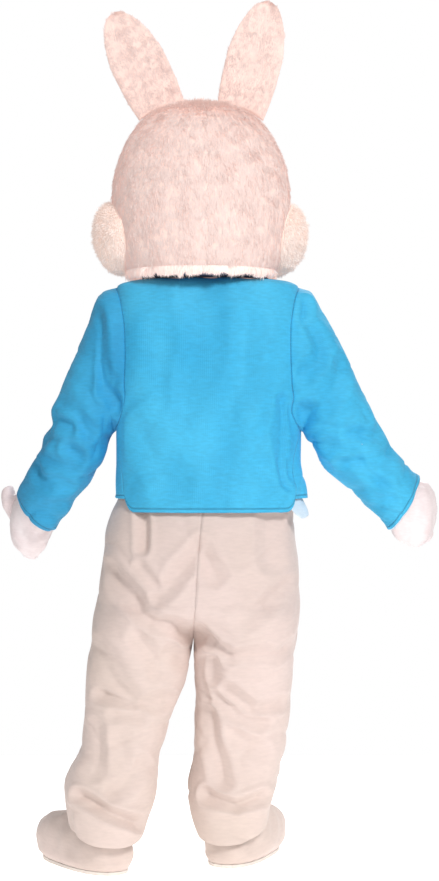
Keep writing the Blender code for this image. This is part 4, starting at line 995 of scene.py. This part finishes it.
def build_suit(plush):
    armhole = smooth_table(SUIT_ARMHOLE)
    for name, table, sign, hem in (("left", LEFT_SUIT, 1, LEFT_HEM), ("right", RIGHT_SUIT, -1, RIGHT_HEM)):
        coarse = [table[0][0]] + [h for h in SUIT_ROWS if h > table[0][0] + 0.01]
        last = coarse.index(SUIT_HIDDEN_FROM)
        shown = finer([(h,) for h in coarse[:last + 1]], SUIT_FINE)[:, 0]
        hidden = finer([(h,) for h in coarse[last:]], SUIT_HIDDEN_FINE)[:, 0]
        rows = np.concatenate([shown, hidden[1:]])
        ends = armhole(rows)
        centre = np.zeros(len(rows))
        back = suit_half(table, sign, hem, centre, ends[:, 0], SUIT_BACK_COLUMNS, rows)
        front = suit_half(table, sign, hem, ends[:, 1], centre + 180.0, SUIT_FRONT_COLUMNS, rows)
        seams = ((0, -1, 1, 0), (0, 0, 1, -1))
        outer, inner = panels((back, front), seams, (sign, sign), SUIT_BACK_FOLDS, SUIT_FRONT_FOLDS,
                              "suit", SUIT_WALL)
        seam_x = smooth_table(table)
        for k, side in enumerate(("back", "front")):
            for points in (outer[k], inner[k]):
                limit = seam_x(points[..., 2])[..., 1] + sign * SEAM_HALF_GAP
                above = outer[k][..., 2] > CROTCH_HEIGHT - 0.03
                beyond = above & ((points[..., 0] - limit) * sign < 0)
                beyond[:, -k] |= outer[k][:, -k, 2] > CROTCH_HEIGHT
                points[..., 0] = np.where(beyond, limit, points[..., 0])
            cloth(f"suit_{side}_{name}", (plush,), *pulled(outer[k], inner[k], (0, -1)))


def turned(points, degrees, x=0.0, y=0.0):
    """Turn points about an upright axis."""
    c, s = math.cos(math.radians(degrees)), math.sin(math.radians(degrees))
    points = np.array(points, float)
    dx, dy = points[..., 0].copy(), points[..., 1].copy()
    points[..., 0] = x + c * dx - s * dy
    points[..., 1] = y + s * dx + c * dy
    return points


def head_point(height, angle):
    half_width, half_depth = np.moveaxis(smooth_table(HEAD)(height), -1, 0)
    x, y = ring_point(0.0, half_width, half_depth, -half_depth, HEAD_SQUARE, angle)
    return np.stack([x, y, np.broadcast_to(height, x.shape)], axis=-1)


def build_head(skin, hair):
    heights = finer(HEAD[:, :1], HEAD_FINE)
    for side, sign in (("left", 1), ("right", -1)):
        grids = []
        for start in (0, 90):
            angle = np.radians(np.linspace(start, start + 90, HEAD_COLUMNS))[None, :] * sign
            grids.append(head_point(heights, np.repeat(angle, len(heights), axis=0)))
        outs = joined_normals(grids, ((0, -1, 1, 0),), (sign, sign))
        for node, grid, out, seam in zip((f"head_back_{side}", f"face_{side}"), grids, outs, (0, -1)):
            out[:, seam, 0] = 0.0
            out[-1] = (0.0, 0.0, 1.0)
            out = unit(out)
            outer, inner = grid - HEAD_PILE * out, grid - HEAD_WALL * out
            for points in (outer, inner):
                points[..., 0] = sign * np.maximum(sign * points[..., 0], SEAM_HALF_GAP)
            outer, inner = pulled(outer, inner, (-1 if seam == 0 else 0,))
            low = grid[:2] - 0.004 * out[:2]
            outer, inner, out, low = (turned(part, HEAD_TURN_DEG) for part in (outer, inner, out, low))
            piece = shell(node + "_foam", node, (skin,), outer, inner)
            seed = 10 * (seam == 0) + sign
            strip = HAIRS["fringe"]
            fur(node + "_fringe", piece, hair, low, out[:2], strip, FRINGE, DOWN, 700 + seed, joints=2)
            fur(node + "_fur", piece, hair, outer, out, HAIRS[node], HEAD_HAIR, DOWN, 100 + seed, joints=2)


def inside_head(points):
    """Whether points are in the head's outer surface, grown by a little."""
    points = turned(points, -HEAD_TURN_DEG)
    share = points[..., :2] / (smooth_table(HEAD)(points[..., 2]) + EAR_CLEARANCE)
    return ((share ** 2).sum(axis=-1) < 1) & (points[..., 2] <= HEAD[-1, 0])


def build_ears(skin, inside, hair):
    width_at = smooth_table(EAR_WIDTHS)
    across = np.sin(np.linspace(-math.pi / 2, math.pi / 2, EAR_COLUMNS))
    along = 1 - (1 - np.linspace(0.0, 0.993, EAR_ROWS)) ** 1.35
    for name, (x0, z0, x1, z1) in (("left", LEFT_EAR), ("right", RIGHT_EAR)):
        axis = np.array((x1 - x0, 0.0, z1 - z0))
        length = np.linalg.norm(axis)
        axis /= length
        side = np.array((axis[2], 0.0, -axis[0]))

        def surface(u, share, depth, bulge):
            full = np.maximum(0.0, 1 - u * u) ** 0.6
            full = full * np.minimum(1.0, 1.25 * np.maximum(1 - share, 0.0) ** 0.5)
            wide = width_at(share)[..., 0] / 2
            y = -EAR_CUP * (1 - u * u) + EAR_CUP * 0.5 + depth + bulge * full
            base = np.array((x0, 0.0, z0)) + axis * (length * share)[..., None] + side * (wide * u)[..., None]
            base[..., 1] += y
            return base

        starts = np.zeros(len(across))
        for share in np.arange(0.0, 0.5, 0.004):
            sunk = np.zeros(len(across), bool)
            for depth, bulge in ((EAR_EDGE, EAR_BACK_BULGE), (0.0, 0.0), (-EAR_EDGE, -0.004)):
                sunk |= inside_head(surface(across, np.full(len(across), share), depth, bulge))
            starts = np.where(sunk & (starts >= share - 0.005), share + 0.004, starts)
        share = starts + (1 - starts) * along[:, None]
        u = np.repeat(across[None], len(along), axis=0)
        for node, colour, pile, bulge, lift in (
                (f"ear_{name}_back", skin, EAR_BACK_HAIR, EAR_BACK_BULGE - 0.003, 1),
                (f"ear_{name}_front", inside, EAR_FRONT_HAIR, -0.003, -1)):
            outer = surface(u, share, lift * (EAR_EDGE - 0.002), bulge)
            inner = surface(u, share, lift * EAR_CLEARANCE, 0.0)
            out = normals(outer, False)
            out *= np.sign((out[..., 1] * lift).mean())
            piece = shell(node + "_pad", node, (colour,), outer, inner)
            seed = 400 + int(x0 > 0) * 10 + lift
            fur(node + "_fur", piece, hair, outer, out, HAIRS["ear"], pile, axis, seed)


def build_pad(node, materials, middle_deg, height, half_deg, half_height, bulge, square, clearance, room=0.0,
              hair=None, pile=None, sunk=0.0):
    """Stuffed pad whose back follows the head and whose face bulges, less the room that its hair takes."""
    turn = np.arange(PAD_ROUND) * 2 * math.pi / PAD_ROUND
    c, s = np.cos(turn), np.sin(turn)
    reach = 1 / (np.abs(c) ** square + np.abs(s) ** square) ** (1 / square)
    outer, inner = [], []
    for share in np.cos(np.linspace(0.0, 1.53, PAD_ROWS)):
        angle = np.radians(middle_deg + half_deg * share * reach * c)
        level = height + half_height * share * reach * s
        base = head_point(level, angle)
        out = unit(np.cross(head_point(level + 0.002, angle) - base, head_point(level, angle + 0.01) - base))
        out *= np.sign((out[:, :2] * base[:, :2]).sum(axis=1))[:, None]
        rise = np.maximum(bulge * (1 - share ** 2) ** 0.62 - room, 0.0)
        seat = clearance - sunk * share ** 8
        inner.append(base + out * seat)
        outer.append(base + out * (seat + 0.002 + rise))
    outer, inner = np.array(outer), np.array(inner)
    inner[..., 2] = np.maximum(inner[..., 2], PAD_LOWEST)
    outer[..., 2] = np.maximum(outer[..., 2], PAD_LOWEST + 0.0005)
    outer, inner = turned(outer, HEAD_TURN_DEG), turned(inner, HEAD_TURN_DEG)
    piece = shell(node + "_pad", node, materials, outer, inner, closed=True, capped=True)
    if hair is not None:
        out = normals(outer, True)
        out *= np.sign((out * (outer - inner.mean(axis=(0, 1)))).sum(axis=-1).mean())
        seed = 500 + int(middle_deg)
        fur(node + "_fur", piece, hair, outer, out, HAIRS[node], pile, DOWN, seed, closed=True, joints=2)


def build_nose(material):
    level = MUZZLE[1] + NOSE_ABOVE_MUZZLE
    centre = head_point(np.array(level), np.array(math.pi))
    y = float(centre[1]) - MUZZLE[4] + NOSE_SEAT - NOSE[2]
    latitude = np.radians(np.linspace(-84, 84, NOSE_ROWS))[:, None]
    turn = np.arange(NOSE_ROUND) * 2 * math.pi / NOSE_ROUND
    x = NOSE[0] * np.cos(latitude) * np.sin(turn) * (1 + 0.22 * np.cos(turn)) / 1.08
    z = NOSE[1] * np.cos(latitude) * np.cos(turn)
    outer = np.stack([x, y + NOSE[2] * np.sin(latitude) + 0 * x, level + z], axis=-1)
    ends = np.array([(0.0, y - NOSE[2], level), (0.0, y + NOSE[2], level)])
    points = turned(np.concatenate([outer.reshape(-1, 3), ends]), HEAD_TURN_DEG)
    ring, after = np.arange(NOSE_ROUND), np.roll(np.arange(NOSE_ROUND), -1)
    quads = np.concatenate([
        np.stack([ring, after, after + NOSE_ROUND, ring + NOSE_ROUND], axis=-1) + NOSE_ROUND * row
        for row in range(NOSE_ROWS - 1)])
    top = NOSE_ROUND * NOSE_ROWS
    low = np.stack([after, ring, np.full(NOSE_ROUND, top)], axis=-1)
    high = np.stack([ring, after, np.full(NOSE_ROUND, NOSE_ROUND + 1)], axis=-1) + top - NOSE_ROUND
    tris = np.concatenate([low, high])
    if signed_volume(points, [quads, tris]) < 0:
        quads, tris = quads[:, ::-1], tris[:, ::-1]
    stands_for(put("nose_shell", points, [quads, tris], None, (material,)), "nose")


def mitt_rings(table, count):
    turn = np.arange(count) * 2 * math.pi / count
    c, s = np.cos(turn)[:, None], np.sin(turn)[:, None]
    rings = []
    for x0, z0, x1, z1, y, depth in table:
        middle = np.array(((x0 + x1) / 2, y, (z0 + z1) / 2))
        reach = np.array(((x0 - x1) / 2, 0.0, (z0 - z1) / 2))
        back = np.array((0.0, depth, -0.35 * depth))
        rings.append(middle + np.sign(c) * np.abs(c) ** 0.9 * reach - np.sign(s) * np.abs(s) ** 0.9 * back)
    return np.array(rings)


def rounded_end(rings, tip):
    """Rings with two more towards the tip, so that the end is round."""
    last = rings[-1]
    bow = tip - last.mean(axis=0)
    extra = [tip + (last - tip) * share + bow * ahead for share, ahead in ((0.80, 0.28), (0.45, 0.06))]
    return np.concatenate([rings, extra])


def smooth_rings(rings, times):
    return finer(rings.reshape(len(rings), -1), times).reshape(-1, *rings.shape[1:])


def build_mitts(satin):
    fine = MITT_FINE
    for name, table, tip, thumb, thumb_tip, c, r in MITTENS:
        outer = smooth_rings(rounded_end(mitt_rings(table, MITT_COLUMNS * fine), np.array(tip)), fine)
        out = outward(outer)
        outer -= out * rumple(outer, "mitt")[..., None]
        inner = outer - out * MITT_WALL
        first, column, span = r * fine, c * fine, 2 * fine
        cloth("mitt_" + name, (satin,), outer, inner, closed=True, capped=True, hole=(first, column, span))
        square = outer[first:first + span + 1, column:column + span + 1]
        base = np.concatenate([square[0, :-1], square[:-1, -1], square[-1, :0:-1], square[:0:-1, 0]])
        centre = base.mean(axis=0)
        spokes = base - centre
        end = np.array(thumb_tip, float)
        away = np.cross(base[2 * fine] - base[6 * fine], base[4 * fine] - base[0])
        away *= np.sign(away @ (end - centre)) / np.linalg.norm(away)
        rings = [base + away * 0.0004]
        last = centre
        for x, y, z, radius in thumb:
            middle = np.array((x, y, z))
            axis = unit(away + unit(end - last))
            rings.append(middle + radius * unit(spokes - (spokes @ axis)[:, None] * axis))
            last = middle
        grid = smooth_rings(rounded_end(np.array(rings), end), fine)
        inner = grid - outward(grid) * MITT_WALL
        inner[0] = grid[0] - spokes * 0.12
        cloth(f"mitt_{name}_thumb", (satin,), grid, inner, closed=True, capped=True)


def build_shoes(plush, rubber):
    turn = np.arange(SHOE_ROUND) * 2 * math.pi / SHOE_ROUND
    for name, (x, y, toe_out) in (("left", LEFT_ANKLE), ("right", RIGHT_ANKLE)):
        rings = []
        for height, heel, toe, half_width in finer(SHOE, SHOE_FINE):
            ring_x, ring_y = ring_point(0.0, half_width, heel, toe, SHOE_SQUARE, turn)
            ring_x = ring_x * (1 + SHOE_TOE_FLARE * np.clip(-np.cos(turn), 0.0, 1.0))
            rings.append(np.stack([ring_x, ring_y, np.full(SHOE_ROUND, height)], axis=-1))
        grid = np.array(rings)
        out = outward(grid)
        puff = smoothstep((grid[..., 2] - 0.01) / 0.03)
        grid -= out * (0.001 + (0.0018 * waves(grid, 0.06, 51)) * puff)[..., None]
        outer, inner = (turned(part, toe_out, x, y) for part in (grid, grid - out * SHOE_WALL))
        cloth(f"shoe_{name}_upper", (plush,), outer, inner, closed=True)
        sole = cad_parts[f"shoe_{name}_sole"].data.materials
        sole.clear()
        sole.append(rubber)


def build_facing(lining):
    """Turned-out facing of the right front: it hugs the panel and hangs below its hem in a flared lobe."""
    share = np.linspace(0.0, 1.0, FACING_COLUMNS)
    angle = np.radians(FACING_ANGLES[0] + (FACING_ANGLES[1] - FACING_ANGLES[0]) * share)
    drop = smooth_table(FACING_LOBE)(share)[:, 0]
    top = JACKET_ROWS[0][0] + BACK_CORNER_RISE
    section = smooth_table(JACKET)
    rings = []
    for part in np.linspace(0.0, 1.0, FACING_ROWS):
        height = top - drop + (smooth_table(FACING_TOPS)(share)[:, 0] - top + drop) * part
        middle, half, back, front, square = np.moveaxis(section(np.maximum(height, JACKET[0][0])), -1, 0)
        inset = FACING_INSET - FACING_FLARE * np.clip((top - height) / 0.04, 0.0, 1.0)
        x, y = ring_point(middle, half - inset, back - inset, front + inset, square, angle)
        rings.append(np.stack([x, y, height], axis=-1))
    outer = np.array(rings)
    cloth("facing_front_right", (lining,), outer, outer + LINING_WALL * normals(outer, False))


def build_collar(material):
    """Collar that flares from the neckline up to the lower edge of the head."""
    angle = np.radians(np.linspace(-COLLAR_ENDS_DEG, COLLAR_ENDS_DEG, COLLAR_COLUMNS))
    base, rim = JACKET[-1], HEAD[0]
    rings = []
    for share in np.linspace(0.0, 1.0, COLLAR_ROWS):
        grow = COLLAR_REACH * rim[1]
        low, high = base[1:5] * (1.0, *3 * [COLLAR_BASE_REACH]), np.array((0.0, grow, grow, -grow))
        square = base[5] * (1 - share) + HEAD_SQUARE * share
        x, y = ring_point(*low * (1 - share) + high * share, square, angle)
        rise = (rim[0] - base[0] - 3 * COLLAR_GAP - COLLAR_WALL) * share ** 0.7
        rings.append(np.stack([x, y, np.full(len(angle), base[0] + 2 * COLLAR_GAP + rise)], axis=-1))
    outer = np.array(rings)
    cloth("collar", (material,), outer, outer - COLLAR_WALL * normals(outer, False))


def linked(name, data):
    thing = bpy.data.objects.new(name, data)
    bpy.context.collection.objects.link(thing)
    return thing


def build_floor():
    floor = bpy.data.meshes.new("floor")
    corners = [(-1, -1), (1, -1), (1, 1), (-1, 1)]
    z = -ORIGIN_HEIGHT - 0.0005
    floor.from_pydata([(x * FLOOR_REACH, y * FLOOR_REACH, z) for x, y in corners], [], [(0, 1, 2, 3)])
    floor.update()
    material, tree, shader = new_material("floor", 0.9, Emission_Color=(*WHITE, 1.0),
                                          Emission_Strength=FLOOR_GLOW)
    grey = ramp(tree, noise(tree, 0.8), 0.3, 0.7, (0.86, 0.86, 0.86), (0.88, 0.88, 0.88))
    tree.links.new(grey, shader.inputs["Base Color"])
    floor.materials.append(material)
    linked("floor", floor)


def light_world():
    """White world for the camera, and a weaker one for the light that it sends."""
    world = bpy.data.worlds.new("studio")
    world.use_nodes = True
    nodes, links = world.node_tree.nodes, world.node_tree.links
    light, sky = nodes["Background"], nodes.new("ShaderNodeBackground")
    for background, strength in ((light, WORLD_LIGHT), (sky, 1.0)):
        background.inputs["Color"].default_value = (*WHITE, 1.0)
        background.inputs["Strength"].default_value = strength
    path, both = nodes.new("ShaderNodeLightPath"), nodes.new("ShaderNodeMixShader")
    links.new(path.outputs["Is Camera Ray"], both.inputs[0])
    links.new(light.outputs[0], both.inputs[1])
    links.new(sky.outputs[0], both.inputs[2])
    links.new(both.outputs[0], nodes["World Output"].inputs["Surface"])
    bpy.context.scene.world = world


def hang_lamps():
    for name, place, size, power in LAMPS:
        lamp = bpy.data.lights.new(name, "AREA")
        lamp.shape = "DISK"
        lamp.size = size
        lamp.energy = power
        holder = linked(name, lamp)
        holder.location = place
        aim = mathutils.Vector(LAMP_AIM) - holder.location
        holder.rotation_euler = aim.to_track_quat("-Z", "Y").to_euler()


def set_camera():
    camera = bpy.data.cameras.new("camera")
    camera.sensor_fit = "VERTICAL"
    camera.sensor_height = SENSOR_HEIGHT
    camera.lens = SENSOR_HEIGHT * EYE_PLACE[1] / PHOTO_HEIGHT
    eye = linked("camera", camera)
    eye.location = EYE_PLACE
    eye.rotation_euler = (math.pi / 2, 0.0, math.pi)
    bpy.context.scene.camera = eye
    bpy.context.scene.view_settings.view_transform = "Standard"


# Roughness, size of the nap's drift and size of the grain of both light linings
LINING_WEAVE = (0.6, 0.05, 0.0012)


def velour_material(name, dark, light):
    return cloth_material(name, dark, light, 0.75, 0.16, 0.0016, 0.0005, 0.14, srgb(190, 230, 250), hem=0.009,
                          rumple=0.0010, fleck=0.86)


def main():
    build_floor()
    light_world()
    hang_lamps()
    set_camera()
    velour = velour_material("jacket_velour", srgb(50, 174, 222), srgb(74, 196, 240))
    # A darker copy of the velour for the left sleeve: painted shade on that sleeve
    painted_shade_velour = velour_material("jacket_against_nap", srgb(38, 152, 203), srgb(62, 180, 228))
    lining = cloth_material("jacket_lining", srgb(212, 230, 244), srgb(232, 243, 252), *LINING_WEAVE, 0.0003)
    trim = cloth_material("cuff_trim", srgb(214, 226, 238), srgb(238, 244, 250), *LINING_WEAVE, 0.0004)
    navy = cloth_material("collar_plush", srgb(18, 50, 98), srgb(40, 84, 140), 0.8, 0.03, 0.0016, 0.0008, 0.3)
    plush = cloth_material("suit_plush", srgb(212, 194, 183), srgb(222, 202, 195), 0.9, 0.30, 0.0018, 0.0003,
                           0.2, rumple=0.0012)
    satin = cloth_material("mitten_satin", srgb(240, 222, 222), srgb(252, 240, 240), 0.42, 0.04, 0.0012,
                           0.0002, 0.2, rumple=0.0012)
    # The backings glow in these colours with painted light
    skin = backing_material("fur_backing", srgb(236, 206, 194), srgb(244, 216, 204), (1.0, 0.78, 0.73))
    cream = backing_material("cheek_backing", srgb(238, 214, 202), srgb(244, 222, 210), (1.0, 0.85, 0.78))
    pink = cloth_material("ear_lining", srgb(226, 168, 170), srgb(238, 186, 188), 0.9, 0.03, 0.0016, 0.0008)
    rubber = cloth_material("sole_rubber", srgb(226, 214, 206), srgb(236, 226, 216), 0.75, 0.02, 0.004,
                            0.0006)
    black = gloss_material("eye_gloss", (0.006, 0.005, 0.005), (0.016, 0.012, 0.011), 0.12, 0.8)
    nose = gloss_material("nose_satin", srgb(204, 118, 128), srgb(222, 142, 150), 0.35, 0.2)
    # The hair glows in these colours with painted light
    hair = fur_material("hair", (1.0, 0.80, 0.76))
    cream_hair = fur_material("cream_hair", (1.0, 0.87, 0.80))
    loops = build_jacket(velour, lining)
    # The left sleeve takes the darker copy of the velour, which is painted shade
    build_sleeves(loops, {"left": painted_shade_velour, "right": velour}, lining, trim)
    build_facing(lining)
    build_collar(navy)
    build_suit(plush)
    build_head(skin, hair)
    build_ears(skin, pink, hair)
    for node, angle in (("cheek_left", CHEEK[0]), ("cheek_right", -CHEEK[0])):
        build_pad(node, (cream,), angle, *CHEEK[1:], 0.006, cream_hair, CHEEK_HAIR, sunk=0.0085)
    build_pad("muzzle", (cream,), *MUZZLE, 0.004, cream_hair, MUZZLE_HAIR, sunk=0.006)
    for node, angle in (("eye_left", 180 - EYE[0]), ("eye_right", 180 + EYE[0])):
        build_pad(node, (black,), angle, *EYE[1:])
    build_nose(nose)
    build_mitts(satin)
    build_shoes(plush, rubber)


main()
